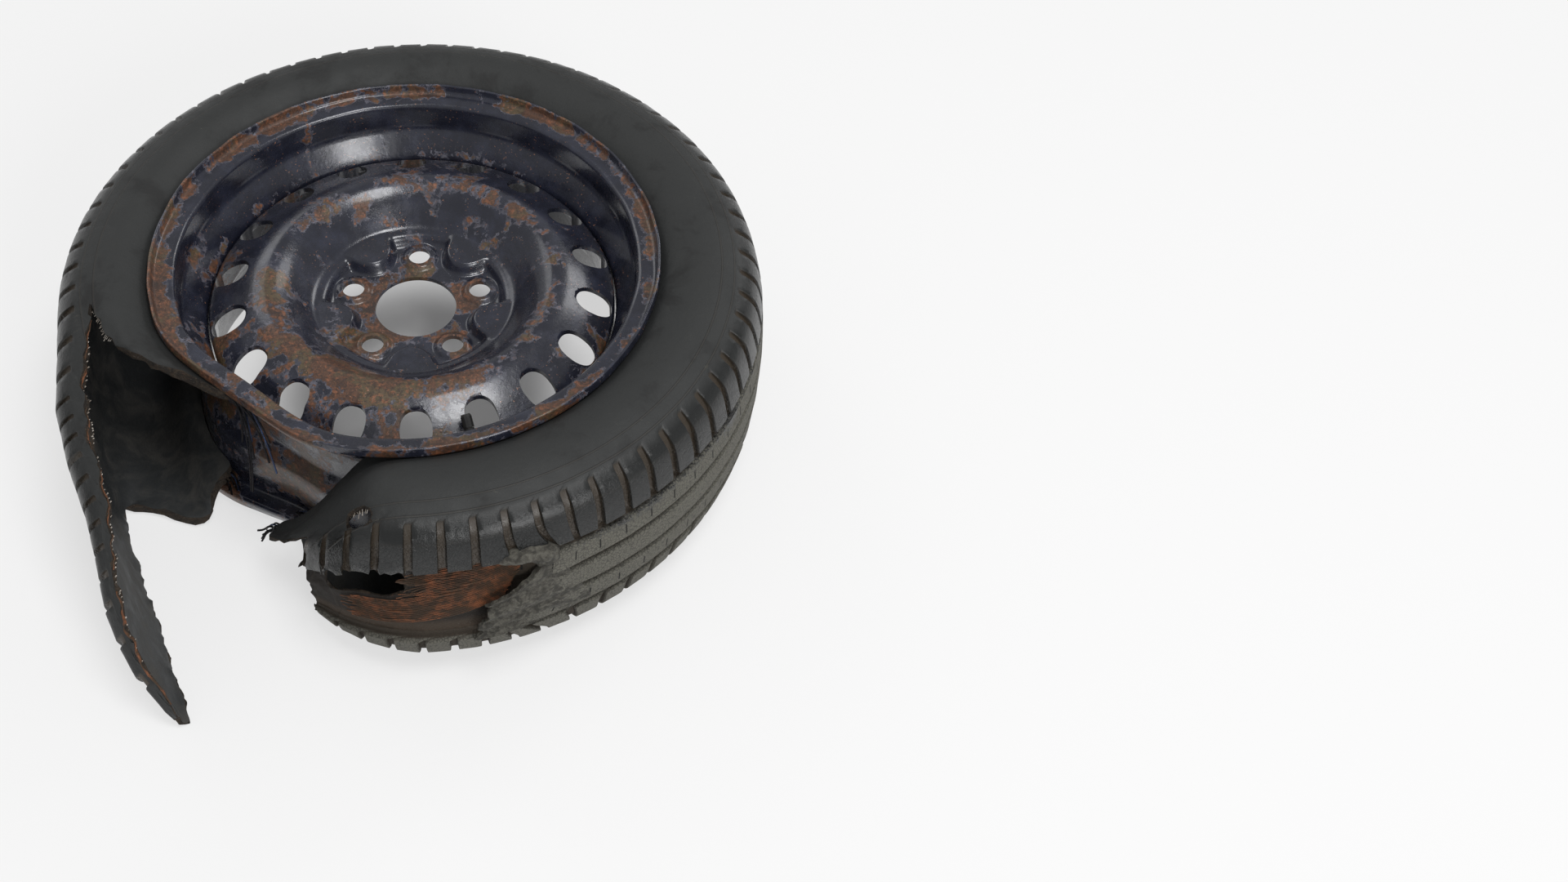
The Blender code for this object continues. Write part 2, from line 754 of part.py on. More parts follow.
def make_rim(material):
    section = rim_section()
    points = []
    for i in range(PITCHES):
        angle = angle_at(i)
        for r, z in section:
            points.append(wheel_point(r, z, angle))
    count = len(section)
    faces = []
    for i in range(PITCHES):
        for k in range(count):
            n = (k + 1) % count
            m = (i + 1) % PITCHES
            faces.append((i * count + k, i * count + n, m * count + n, m * count + k))
    return add_body("rim", points, faces, material)


def valve_frame():
    """Centre of the valve hole on the well's upper slope, and the way it points."""
    high = (BEAD_RADIUS - RIM_SHEET / 2, RIM_HALF_WIDTH - BEAD_SEAT_WIDTH - 0.0035)
    low = (WELL_RADIUS - RIM_SHEET / 2, WELL_TOP - 0.00925)
    middle = ((high[0] + low[0]) / 2, (high[1] + low[1]) / 2)
    slope = Vector((high[0] - low[0], 0.0, high[1] - low[1])).normalized()
    out_way = Vector((-slope.z, 0.0, slope.x))
    a = math.radians(VALVE_ANGLE)
    turn = Vector((math.cos(a), math.sin(a), 0.0))
    centre = turn * middle[0] + Vector((0, 0, middle[1]))
    direction = turn * out_way.x + Vector((0, 0, out_way.z))
    return centre, direction.normalized()


def turned(name, profile, centre, direction, material, steps=16):
    """A turned body: profile of (radius, distance along the direction)."""
    points = []
    side = direction.cross(Vector((0, 0, 1))).normalized()
    other = direction.cross(side).normalized()
    rings = []
    for r, along in profile:
        middle = centre + direction * along
        ring = []
        for k in range(steps):
            a = 2 * math.pi * k / steps
            ring.append(len(points))
            points.append(middle + side * (r * math.cos(a)) + other * (r * math.sin(a)))
        rings.append(ring)
    faces = []
    for near, far in zip(rings, rings[1:]):
        for k in range(steps):
            n = (k + 1) % steps
            faces.append((near[k], near[n], far[n], far[k]))
    faces.append(tuple(rings[0]))
    faces.append(tuple(rings[-1]))
    return add_body(name, points, faces, material)


def make_valve(rim, rubber, metal, plastic):
    centre, direction = valve_frame()
    hole = turned("valve_hole_cutter", [(VALVE_HOLE_RADIUS, -0.006), (VALVE_HOLE_RADIUS, 0.006)],
                  centre, direction, metal)
    cut(rim, hole)
    neck = VALVE_HOLE_RADIUS - CLEARANCE
    reach = RIM_SHEET / 2 + CLEARANCE * 3
    bore = VALVE_STEM_RADIUS + CLEARANCE
    head = VALVE_HOLE_RADIUS + 0.0030
    seat = VALVE_LENGTH - 0.012
    profile = [
        (bore, -reach - 0.004), (head - 0.001, -reach - 0.004), (head, -reach), (neck, -reach),
        (neck, reach), (head, reach), (head - 0.001, reach + 0.003), (0.0042, reach + 0.006),
        (0.0039, seat - CLEARANCE), (bore, seat - CLEARANCE),
    ]
    make_tube("valve_rubber", profile, centre, direction, rubber)
    stem = [
        (VALVE_STEM_RADIUS, -reach - 0.003), (VALVE_STEM_RADIUS, seat), (VALVE_STEM_RADIUS, seat + 0.008),
    ]
    turned("valve_stem", stem, centre, direction, metal, 12)
    roof = seat + 0.008 + CLEARANCE
    cap = [
        (bore, seat), (0.0044, seat), (0.0044, seat + 0.009), (0.0036, seat + 0.011),
        (0.0, seat + 0.011), (0.0, roof), (bore, roof),
    ]
    make_cup("valve_cap", cap, centre, direction, plastic)


def make_tube(name, profile, centre, direction, material, steps=16):
    """A turned body with a hole through it: the profile is a closed outline."""
    side = direction.cross(Vector((0, 0, 1))).normalized()
    other = direction.cross(side).normalized()
    points = []
    for r, along in profile:
        for k in range(steps):
            a = 2 * math.pi * k / steps
            points.append(centre + direction * along + side * (r * math.cos(a)) + other * (r * math.sin(a)))
    faces = []
    count = len(profile)
    for p in range(count):
        q = (p + 1) % count
        for k in range(steps):
            n = (k + 1) % steps
            faces.append((p * steps + k, p * steps + n, q * steps + n, q * steps + k))
    return add_body(name, points, faces, material)


def make_cup(name, profile, centre, direction, material, steps=12):
    """A turned body with a blind hole: outline from the open rim over the top and back inside."""
    side = direction.cross(Vector((0, 0, 1))).normalized()
    other = direction.cross(side).normalized()
    points = []
    rings = []
    for r, along in profile:
        middle = centre + direction * along
        if r == 0.0:
            rings.append([len(points)] * steps)
            points.append(middle)
            continue
        ring = []
        for k in range(steps):
            a = 2 * math.pi * k / steps
            ring.append(len(points))
            points.append(middle + side * (r * math.cos(a)) + other * (r * math.sin(a)))
        rings.append(ring)
    faces = []
    for p in range(len(rings)):
        near = rings[p]
        far = rings[(p + 1) % len(rings)]
        if near[0] == near[1] and far[0] == far[1]:
            continue
        for k in range(steps):
            n = (k + 1) % steps
            if near[0] == near[1]:
                faces.append((near[0], far[n], far[k]))
            elif far[0] == far[1]:
                faces.append((near[k], near[n], far[0]))
            else:
                faces.append((near[k], near[n], far[n], far[k]))
    return add_body(name, points, faces, material)


# Disc


def disc_profile():
    """Front face of the pressed disc from the bore outward: radius and height."""
    front = HUB_FACE
    edge = WELL_RADIUS - RIM_SHEET - WELL_FIT
    return [
        (BORE_RADIUS, front),
        (BORE_RADIUS + 0.012, front),
        (BORE_RADIUS + 0.018, front),
        (PAD_RADIUS - 0.006, front),
        (PAD_RADIUS, front),
        (DISH_RADIUS, front + 0.0045),
        (mix(DISH_RADIUS, CROWN_RADIUS, 0.62), front + CROWN_RISE * 0.80),
        (CROWN_RADIUS, front + CROWN_RISE),
        (CROWN_RADIUS + 0.012, front + CROWN_RISE - 0.0025),
        (VENT_CIRCLE_RADIUS - 0.002, front + VENT_RISE + 0.001),
        (edge - 0.0060, front + VENT_RISE - 0.0070),
        (edge, front + VENT_RISE - 0.0130),
        (edge, front + VENT_RISE - 0.0130 - DISC_LIP),
    ]


def back_profile(front):
    """The back face, one sheet thickness behind the front."""
    found = []
    for k, (r, z) in enumerate(front):
        normals = []
        for a, b in ((k - 1, k), (k, k + 1)):
            if a < 0 or b >= len(front):
                continue
            dr = front[b][0] - front[a][0]
            dz = front[b][1] - front[a][1]
            size = math.hypot(dr, dz)
            normals.append((dz / size, -dr / size))
        nr = sum(n[0] for n in normals) / len(normals)
        nz = sum(n[1] for n in normals) / len(normals)
        size = nr * nr + nz * nz
        found.append((r + DISC_SHEET * nr / size, z + DISC_SHEET * nz / size))
    return found


def emboss(radius, angle):
    """Between the bolts the pad is pressed forward, which leaves five flat lobes behind."""
    step = 360.0 / BOLTS
    first = BOLT_START + step / 2
    nearest = first + step * round((angle - first) / step)
    away = abs(angle_gap(angle, nearest))
    ring = smooth((radius - 0.046) / 0.006) * smooth((0.0765 - radius) / 0.006)
    return EMBOSS_HEIGHT * ring * smooth((20.5 - away) / 8.0)


def rounded_slot(width, length, steps):
    """Outline of a rounded oval, its length along x."""
    found = []
    for k in range(steps):
        a = 2 * math.pi * (k + 0.5) / steps
        c = math.cos(a)
        s = math.sin(a)
        power = 0.86
        x = math.copysign(abs(c) ** power, c) * length / 2
        y = math.copysign(abs(s) ** power, s) * width / 2
        found.append((x, y))
    return found


def prism(name, outline, radius, angle, low, high, material):
    """Upright cutter with an outline placed at a radius and angle, x pointing outward."""
    a = math.radians(angle)
    points = []
    for z in (low, high):
        for x, y in outline:
            points.append(Vector(((radius + x) * math.cos(a) - y * math.sin(a),
                                  (radius + x) * math.sin(a) + y * math.cos(a), z)))
    n = len(outline)
    faces = [tuple(range(n)), tuple(range(n, 2 * n))]
    for k in range(n):
        m = (k + 1) % n
        faces.append((k, m, n + m, n + k))
    return add_body(name, points, faces, material)


def make_disc(material):
    steps = 40
    front = disc_profile()
    back = back_profile(front)
    points = []
    for i in range(steps):
        angle = 360.0 * i / steps
        for r, z in front + back[::-1]:
            lift = emboss(r, angle)
            points.append(wheel_point(r, z + lift, angle))
    count = 2 * len(front)
    faces = []
    for i in range(steps):
        m = (i + 1) % steps
        for k in range(count):
            n = (k + 1) % count
            faces.append((i * count + k, i * count + n, m * count + n, m * count + k))
    disc = add_body("disc", points, faces, material)
    round_outline = [(math.cos(2 * math.pi * k / 14), math.sin(2 * math.pi * k / 14)) for k in range(14)]
    for k in range(BOLTS):
        angle = BOLT_START + 360.0 / BOLTS * k
        a = math.radians(angle)
        centre = Vector((BOLT_CIRCLE_RADIUS * math.cos(a), BOLT_CIRCLE_RADIUS * math.sin(a), 0.0))
        collar = turned("collar_%d_cutter" % k,
                        [(COLLAR_RADIUS, HUB_FACE - 0.002), (COLLAR_RADIUS, HUB_FACE + 0.0004),
                         (COLLAR_RADIUS - 0.0022, HUB_FACE + COLLAR_HEIGHT)],
                        centre, Vector((0.0, 0.0001, 1.0)).normalized(), material, 14)
        cut(disc, collar, "UNION")
    for k in range(BOLTS):
        angle = BOLT_START + 360.0 / BOLTS * k
        outline = [(x * BOLT_HOLE_RADIUS, y * BOLT_HOLE_RADIUS) for x, y in round_outline]
        hole = prism("bolt_%d_cutter" % k, outline, BOLT_CIRCLE_RADIUS, angle,
                     HUB_FACE - 0.02, HUB_FACE + 0.02, material)
        cut(disc, hole)
    outline = rounded_slot(VENT_WIDTH, VENT_LENGTH, 12)
    for k in range(VENTS):
        angle = VENT_START + 360.0 / VENTS * k
        radius = VENT_CIRCLE_RADIUS - dent(VENT_CIRCLE_RADIUS, HUB_FACE + VENT_RISE, angle)
        hole = prism("vent_%d_cutter" % k, outline, radius, angle,
                     HUB_FACE - 0.004, HUB_FACE + 0.06, material)
        cut(disc, hole)
    return disc


def settle(pieces):
    """Centre the footprint over the origin and put the lowest point on the floor."""
    low = Vector((1e9, 1e9, 1e9))
    high = Vector((-1e9, -1e9, -1e9))
    for piece in pieces:
        for vertex in piece.data.vertices:
            for axis in range(3):
                low[axis] = min(low[axis], vertex.co[axis])
                high[axis] = max(high[axis], vertex.co[axis])
    middle = (low + high) / 2
    bpy.data.objects[CARRIER_NAME].location = (-middle.x, -middle.y, -low.z)


def build():
    for old in list(bpy.data.objects):
        bpy.data.objects.remove(old, do_unlink=True)
    carrier = bpy.data.objects.new(CARRIER_NAME, None)
    bpy.context.collection.objects.link(carrier)
    rubber = make_material("tyre_rubber", (0.045, 0.047, 0.047), 0.72, 0.0)
    rim_paint = make_material("rim_rusty_paint", (0.060, 0.052, 0.062), 0.42, 0.6)
    disc_paint = make_material("disc_rusty_paint", (0.075, 0.052, 0.048), 0.42, 0.6)
    cord_steel = make_material("cord_rust", (0.180, 0.065, 0.028), 0.75, 0.5)
    wire_steel = make_material("wire_dark", (0.030, 0.033, 0.045), 0.5, 0.7)
    valve_rubber = make_material("valve_rubber_black", (0.020, 0.020, 0.020), 0.6, 0.0)
    valve_metal = make_material("valve_brass", (0.320, 0.250, 0.120), 0.4, 1.0)
    cap_plastic = make_material("cap_black", (0.015, 0.015, 0.015), 0.5, 0.0)

    tyre = make_tyre(rubber)
    pieces = [tyre]
    for name, side, station, into in BEAD_ENDS:
        pieces.append(make_bead_wires(name, side, station, into, wire_steel))
    pieces.append(make_belt_cords(cord_steel))
    rim = make_rim(rim_paint)
    pieces.append(rim)
    pieces.append(make_disc(disc_paint))
    make_valve(rim, valve_rubber, valve_metal, cap_plastic)
    settle(pieces)


build()
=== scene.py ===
import math
import random

import bpy
import bmesh
from mathutils import Matrix, Vector, noise


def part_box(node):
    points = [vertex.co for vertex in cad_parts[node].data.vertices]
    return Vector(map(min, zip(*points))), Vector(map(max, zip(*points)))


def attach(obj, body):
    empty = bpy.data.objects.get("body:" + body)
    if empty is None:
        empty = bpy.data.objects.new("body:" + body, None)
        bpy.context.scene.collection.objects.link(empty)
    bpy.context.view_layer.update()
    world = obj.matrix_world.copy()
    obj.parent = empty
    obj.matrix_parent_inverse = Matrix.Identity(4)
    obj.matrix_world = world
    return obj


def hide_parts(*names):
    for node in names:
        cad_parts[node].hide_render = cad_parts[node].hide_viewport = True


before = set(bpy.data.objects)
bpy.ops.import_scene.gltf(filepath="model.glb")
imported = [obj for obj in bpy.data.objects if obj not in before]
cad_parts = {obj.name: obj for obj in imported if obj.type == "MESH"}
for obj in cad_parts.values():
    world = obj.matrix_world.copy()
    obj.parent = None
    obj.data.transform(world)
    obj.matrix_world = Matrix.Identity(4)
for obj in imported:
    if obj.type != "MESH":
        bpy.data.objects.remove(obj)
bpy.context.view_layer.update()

# Burst car wheel lying on a pale floor. Every length is in metres.
# The wheel's own axis is found from the disc of the loaded model.

discEdge = 0.1689  # radius of the disc
crownTop = 0.058  # its highest ring above the middle of the wheel
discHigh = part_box("disc")[1]
axisSpot = Vector((discHigh[0] - discEdge, discHigh[1] - discEdge, discHigh[2] - crownTop))
print("wheel axis at", [round(v, 4) for v in axisSpot])

scene = bpy.context.scene
scene.view_settings.view_transform = "Standard"
noise.seed_set(7)  # so the torn edges come out the same each time


# Camera and light

cameraLook = {
    "spot": (0.1469, -0.9926, 1.2404),
    "right": (0.994, -0.072, 0.079),
    "up": (0.008, 0.791, 0.612),
    "lens": 40.0,
    "sensor": 36.0,
}

lampLook = {
    "worldLight": 0.42,
    "worldSeen": 0.93,
    # name: place, size, power, what it points at
    "lamps": {
        "overhead": ((0.75, -0.6, 3.3), 1.3, 48.0, (0.0, 0.0, 0.1)),
        "front": ((1.6, -2.9, 2.0), 1.3, 46.0, (0.0, 0.1, 0.1)),
        "backLeft": ((-1.9, 2.6, 2.4), 1.8, 12.0, (0.0, 0.1, 0.1)),
        "backRight": ((2.2, 2.3, 2.0), 1.2, 14.0, (0.0, 0.1, 0.1)),
    },
}


def makeCamera():
    data = bpy.data.cameras.new("photoCamera")
    data.lens = cameraLook["lens"]
    data.sensor_width = cameraLook["sensor"]
    camera = bpy.data.objects.new("photoCamera", data)
    scene.collection.objects.link(camera)
    right = Vector(cameraLook["right"]).normalized()
    up = Vector(cameraLook["up"])
    up = (up - right * up.dot(right)).normalized()
    back = right.cross(up)
    turn = Matrix((right, up, back)).transposed()
    camera.matrix_world = Matrix.Translation(Vector(cameraLook["spot"])) @ turn.to_4x4()
    scene.camera = camera


def makeLamps():
    for name, (spot, size, power, target) in lampLook["lamps"].items():
        data = bpy.data.lights.new(name, "AREA")
        data.shape = "DISK"
        data.size = size
        data.energy = power
        lamp = bpy.data.objects.new(name, data)
        lamp.location = spot
        lamp.rotation_mode = "QUATERNION"
        lamp.rotation_quaternion = (Vector(target) - Vector(spot)).to_track_quat("-Z", "Y")
        scene.collection.objects.link(lamp)


def makeWorld():
    world = bpy.data.worlds.new("paleStudio")
    scene.world = world
    startTree(world)
    seen = math2("MAXIMUM", lightRay("Is Camera Ray"), lightRay("Is Transmission Ray"))
    strength = between(seen, lampLook["worldLight"], lampLook["worldSeen"])
    light = step("ShaderNodeBackground", {"Color": (1.0, 1.0, 1.0, 1.0), "Strength": strength})
    out = tree.nodes.new("ShaderNodeOutputWorld")
    tree.links.new(light, out.inputs["Surface"])


# Small helpers for node trees: step() adds a node to the tree at hand and gives its first output

tree = None


def startTree(owner):
    global tree
    owner.use_nodes = True
    tree = owner.node_tree
    tree.nodes.clear()


def step(kind, inputs=None, out=0, **settings):
    made = tree.nodes.new(kind)
    for name, value in settings.items():
        setattr(made, name, value)
    for slot, value in (inputs or {}).items():
        if isinstance(value, bpy.types.NodeSocket):
            tree.links.new(value, made.inputs[slot])
        else:
            made.inputs[slot].default_value = value
    return made.outputs[out]


def lightRay(name):
    return step("ShaderNodeLightPath", out=name)


def math2(operation, a, b=0.0, c=0.0):
    return step("ShaderNodeMath", {0: a, 1: b, 2: c}, operation=operation)


def times(a, b):
    return math2("MULTIPLY", a, b)


def scaleAdd(a, gain, rest):
    return math2("MULTIPLY_ADD", a, gain, rest)


def apart(a, b):
    return math2("ABSOLUTE", math2("SUBTRACT", a, b))


def vectorMath(operation, a, b=(0.0, 0.0, 0.0)):
    single = operation in ("DISTANCE", "LENGTH", "DOT_PRODUCT")
    return step("ShaderNodeVectorMath", {0: a, 1: b}, "Value" if single else 0, operation=operation)


def between(share, a, b):
    return step("ShaderNodeMapRange", {0: share, 3: a, 4: b})


def edgeRamp(value, low, high, outLow=0.0, outHigh=1.0):
    return step("ShaderNodeMapRange", {0: value, 1: low, 2: high, 3: outLow, 4: outHigh},
                interpolation_type="SMOOTHSTEP")


def blendColour(share, a, b, kind="MIX"):
    made = tree.nodes.new("ShaderNodeMix")
    made.data_type = "RGBA"
    made.blend_type = kind
    made.clamp_factor = True
    for slot, value in ((made.inputs[0], share), (made.inputs[6], a), (made.inputs[7], b)):
        if isinstance(value, bpy.types.NodeSocket):
            tree.links.new(value, slot)
        elif isinstance(value, (int, float)):
            slot.default_value = value
        else:
            slot.default_value = (*value, 1.0)
    return made.outputs[2]


def stain(base, over, value, low, high, least=0.0, most=1.0):
    # a second colour laid over the first where value rises from low to high
    return blendColour(edgeRamp(value, low, high, least, most), base, over)


def cloud(spot, scale, detail=4.0, rough=0.55, twist=0.0):
    return step("ShaderNodeTexNoise", {"Vector": spot, "Scale": scale, "Detail": detail, "Roughness": rough,
                                             "Distortion": twist})


def freshMaterial(name):
    material = bpy.data.materials.new(name)
    startTree(material)
    shader = tree.nodes.new("ShaderNodeBsdfPrincipled")
    out = tree.nodes.new("ShaderNodeOutputMaterial")
    tree.links.new(shader.outputs[0], out.inputs["Surface"])
    return material, shader, step("ShaderNodeTexCoord", out="Object")


def plug(shader, values):
    for name, value in values.items():
        if isinstance(value, bpy.types.NodeSocket):
            tree.links.new(value, shader.inputs[name])
        elif isinstance(value, (int, float)):
            shader.inputs[name].default_value = value
        else:
            shader.inputs[name].default_value = (*value, 1.0)


def bump(height, distance, strength=1.0, normal=None):
    inputs = {"Height": height, "Distance": distance, "Strength": strength}
    if normal is not None:
        inputs["Normal"] = normal
    return step("ShaderNodeBump", inputs)


# Floor

floorLook = {"size": 60.0, "low": 0.0004, "colour": (0.90, 0.90, 0.90), "seen": 0.93, "seenShare": 0.66,
             "underWheel": 0.13, "dimTo": 0.09, "brightFrom": 0.17}


def makeFloor():
    half = floorLook["size"] / 2
    mesh = bpy.data.meshes.new("floor")
    corners = [(-half, -half, 0), (half, -half, 0), (half, half, 0), (-half, half, 0)]
    mesh.from_pydata(corners, [], [(0, 1, 2, 3)])
    floor = bpy.data.objects.new("floor", mesh)
    floor.location.z = -floorLook["low"]
    scene.collection.objects.link(floor)
    material, shader, spot = freshMaterial("paleFloor")
    plug(shader, {"Base Color": floorLook["colour"], "Roughness": 0.9, "Specular IOR Level": 0.1})
    glow = step("ShaderNodeEmission", {"Color": (1.0, 1.0, 1.0, 1.0), "Strength": floorLook["seen"]})
    direct = math2("MAXIMUM", lightRay("Is Camera Ray"), lightRay("Is Glossy Ray"))
    direct = math2("MAXIMUM", direct, lightRay("Is Transmission Ray"))
    # painted shade: the glow fades from seenShare in the open to underWheel near the wheel's axis, so the
    # floor reads darker under and round the wheel
    fromAxis = vectorMath("DISTANCE", spot, (axisSpot.x, axisSpot.y, 0.0))
    share = edgeRamp(fromAxis, floorLook["dimTo"], floorLook["brightFrom"], floorLook["underWheel"],
                     floorLook["seenShare"])
    both = step("ShaderNodeMixShader", {0: times(direct, share),
                                              1: shader.outputs[0], 2: glow})
    tree.links.new(both, tree.nodes["Material Output"].inputs["Surface"])
    mesh.materials.append(material)


makeCamera()
makeLamps()
makeWorld()
makeFloor()
print("camera, lamps and floor ready")


# Paint of the rim and the disc: worn blue-black gloss, a lilac grey primer border and rust

paintLook = {
    "paint": (0.012, 0.014, 0.026),
    "paintWorn": (0.026, 0.030, 0.052),
    "primer": (0.125, 0.124, 0.158),
    "rustDark": (0.032, 0.016, 0.011),
    "rustBrown": (0.105, 0.045, 0.022),
    "rustOlive": (0.100, 0.070, 0.032),
    "rustOrange": (0.290, 0.105, 0.045),
    "speck": (0.300, 0.150, 0.095),
}


def rustyPaint(name, zones, rustLevel, holes=()):
    # zones: (radius, half width, gain) of rings that rust more, rustLevel: how much of the rest is rust,
    # holes: (x, y, radius, reach, gain) of the holes that rust round their rims
    material, shader, spot = freshMaterial(name)
    fromAxis = vectorMath("ADD", spot, tuple(-axisSpot))
    parts = tree.nodes.new("ShaderNodeSeparateXYZ")
    tree.links.new(fromAxis, parts.inputs[0])
    flat = step("ShaderNodeCombineXYZ", {"X": parts.outputs[0], "Y": parts.outputs[1]})
    radius = vectorMath("LENGTH", flat)
    broad = cloud(spot, 13.0, 5.0, 0.62)
    patch = cloud(spot, 52.0, 8.0, 0.66, 0.35)
    fleck = cloud(spot, 210.0, 6.0, 0.7, 0.2)
    grain = cloud(spot, 900.0, 4.0, 0.6)
    value = times(broad, 0.55)
    value = scaleAdd(patch, 0.34, value)
    value = scaleAdd(fleck, 0.16, value)
    value = math2("ADD", value, rustLevel)
    for middle, half, gain in zones:
        away = apart(radius, middle)
        value = math2("ADD", value, edgeRamp(away, 0.0, half, gain, 0.0))
    for x, y, hole, reach, gain in holes:
        away = vectorMath("DISTANCE", flat, (x, y, 0.0))
        value = math2("ADD", value, edgeRamp(away, hole, reach, gain, 0.0))
    # more rust toward the burst, at the lower left
    side = vectorMath("DOT_PRODUCT", fromAxis, (-0.62, -0.78, 0.0))
    value = math2("ADD", value, edgeRamp(side, 0.02, 0.17, 0.0, 0.075))
    rust = edgeRamp(value, 0.600, 0.612)
    primer = edgeRamp(value, 0.572, 0.582)
    ragged = edgeRamp(cloud(spot, 120.0, 9.0, 0.75, 1.2), 0.50, 0.53)
    primer = times(primer, edgeRamp(ragged, 0.0, 1.0, 0.35, 1.0))
    tone = cloud(spot, 34.0, 6.0, 0.6, 0.5)
    rustColour = stain(paintLook["rustDark"], paintLook["rustBrown"], tone, 0.36, 0.50)
    rustColour = stain(rustColour, paintLook["rustOlive"], cloud(spot, 26.0, 6.0, 0.6, 0.8), 0.50, 0.62)
    rustColour = stain(rustColour, paintLook["rustOrange"], fleck, 0.50, 0.64, 0.0, 0.8)
    pits = edgeRamp(cloud(spot, 300.0, 6.0, 0.75, 0.6), 0.47, 0.60, 0.0, 0.75)
    rustColour = blendColour(pits, rustColour, paintLook["rustDark"])
    worn = stain(paintLook["paint"], paintLook["paintWorn"], cloud(spot, 44.0, 7.0, 0.62), 0.40, 0.70)
    colour = blendColour(primer, worn, paintLook["primer"])
    colour = blendColour(rust, colour, rustColour)
    dots = times(edgeRamp(cloud(spot, 520.0, 2.0, 0.5), 0.66, 0.70),
                 edgeRamp(patch, 0.46, 0.56))
    colour = blendColour(dots, colour, paintLook["speck"])
    colour = stain(colour, (0.012, 0.010, 0.010), grain, 0.30, 0.72, 0.0, 0.35)
    rough = edgeRamp(cloud(spot, 90.0, 6.0, 0.65), 0.3, 0.75, 0.17, 0.36)
    rough = between(primer, rough, 0.46)
    rough = between(rust, rough, 0.50)
    layers = scaleAdd(primer, -0.5, times(rust, -0.35))
    layers = scaleAdd(times(rust, fleck), 0.9, layers)
    normal = bump(layers, 0.0005, 0.7)
    normal = bump(grain, 0.00025, 0.35, normal)
    normal = bump(patch, 0.002, 0.14, normal)
    normal = bump(cloud(spot, 300.0, 3.0, 0.5), 0.0006, 0.25, normal)
    plug(shader, {"Base Color": colour, "Roughness": rough, "Metallic": 0.15, "Normal": normal,
                        "Specular IOR Level": 0.55, "Coat Weight": 0.50, "Coat Roughness": 0.15})
    return material


# Shared numbers of the wheel

rimSize = {"beadRadius": 0.1903, "halfWidth": 0.0762, "flange": 0.0173, "curl": 0.0115, "sheet": 0.003,
           "seatWide": 0.020, "wellRadius": 0.1730, "wellTop": 0.038, "wellBottom": -0.006, "barrel": 0.1860}
blow = {"upperAngle": 229.0, "lowerAngle": 237.0, "upperDeep": 0.013, "middleDeep": 0.010, "lowerDeep": 0.024,
        "halfAngle": 30.0}
flangeTop = rimSize["beadRadius"] + rimSize["flange"]


def smooth(value):
    value = max(0.0, min(1.0, value))
    return value * value * (3.0 - 2.0 * value)


def mix(a, b, share):
    return a + (b - a) * share


def wobble(a, b=0.0):
    value = math.sin(a * 12.9898 + b * 78.233 + 4.1) * 43758.5453
    return 2.0 * (value - math.floor(value)) - 1.0


def angleGap(a, b):
    return (a - b + 180.0) % 360.0 - 180.0


def dent(radius, z, angle, inner=0.146, outer=0.167):
    up = max(-1.0, min(1.0, z / (rimSize["halfWidth"] + rimSize["curl"])))
    if up > 0.0:
        depth = mix(blow["middleDeep"], blow["upperDeep"], up)
    else:
        depth = mix(blow["middleDeep"], blow["lowerDeep"], -up)
    centre = mix(blow["lowerAngle"], blow["upperAngle"], 0.5 + 0.5 * up)
    share = angleGap(angle, centre) / blow["halfAngle"]
    if abs(share) >= 1.0:
        return 0.0
    return depth * math.cos(share * math.pi / 2) ** 2 * smooth((radius - inner) / (outer - inner))


def wheelPoint(radius, z, angle):
    r = radius - dent(radius, z, angle)
    a = math.radians(angle)
    return Vector((r * math.cos(a), r * math.sin(a), z))


def meshPiece(name, points, faces, materials, faceSlots=None, smoothAngle=40.0):
    mesh = bpy.data.meshes.new(name)
    mesh.from_pydata([tuple(p + axisSpot) for p in points], [], faces)
    for material in materials:
        mesh.materials.append(material)
    if faceSlots is not None:
        mesh.polygons.foreach_set("material_index", faceSlots)
    work = bmesh.new()
    work.from_mesh(mesh)
    bmesh.ops.recalc_face_normals(work, faces=work.faces[:])
    work.to_mesh(mesh)
    work.free()
    mesh.shade_smooth()
    mesh.set_sharp_from_angle(angle=math.radians(smoothAngle))
    piece = bpy.data.objects.new(name, mesh)
    scene.collection.objects.link(piece)
    return piece


def ringFaces(count, turns):
    # squares of a closed outline of count points carried once round the axis
    faces = []
    for i in range(turns):
        m = (i + 1) % turns
        for k in range(count):
            n = (k + 1) % count
            faces.append((i * count + k, i * count + n, m * count + n, m * count + k))
    return faces


def claim(piece, slotName, *nodes):
    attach(piece, "root")
    if nodes:
        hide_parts(*nodes)


def bakeModifiers(piece):
    graph = bpy.context.evaluated_depsgraph_get()
    made = bpy.data.meshes.new_from_object(piece.evaluated_get(graph))
    piece.modifiers.clear()
    piece.data = made
    return made


def roundedLine(points, radius, closed, arcs=3):
    # the same outline with each corner turned into a small arc
    found = []
    count = len(points)
    for k, corner in enumerate(points):
        if not closed and k in (0, count - 1):
            found.append(Vector(corner))
            continue
        corner = Vector(corner)
        before = Vector(points[k - 1]) - corner
        after = Vector(points[(k + 1) % count]) - corner
        reach = min(radius, before.length * 0.46, after.length * 0.46)
        start = corner + before.normalized() * reach
        end = corner + after.normalized() * reach
        for i in range(arcs + 1):
            share = i / arcs
            found.append(start.lerp(corner, share).lerp(corner.lerp(end, share), share))
    return found


# Rim

rimLook = {"turns": 240, "corner": 0.0045, "ding": 0.0005, "dingScale": 34.0, "lipReach": 0.004,
           "tipRise": 0.0030, "tipLean": 0.0024, "tipWall": 0.0006, "rustLevel": -0.040,
           "zones": ((0.2010, 0.0125, 0.150), (0.1735, 0.004, 0.05))}


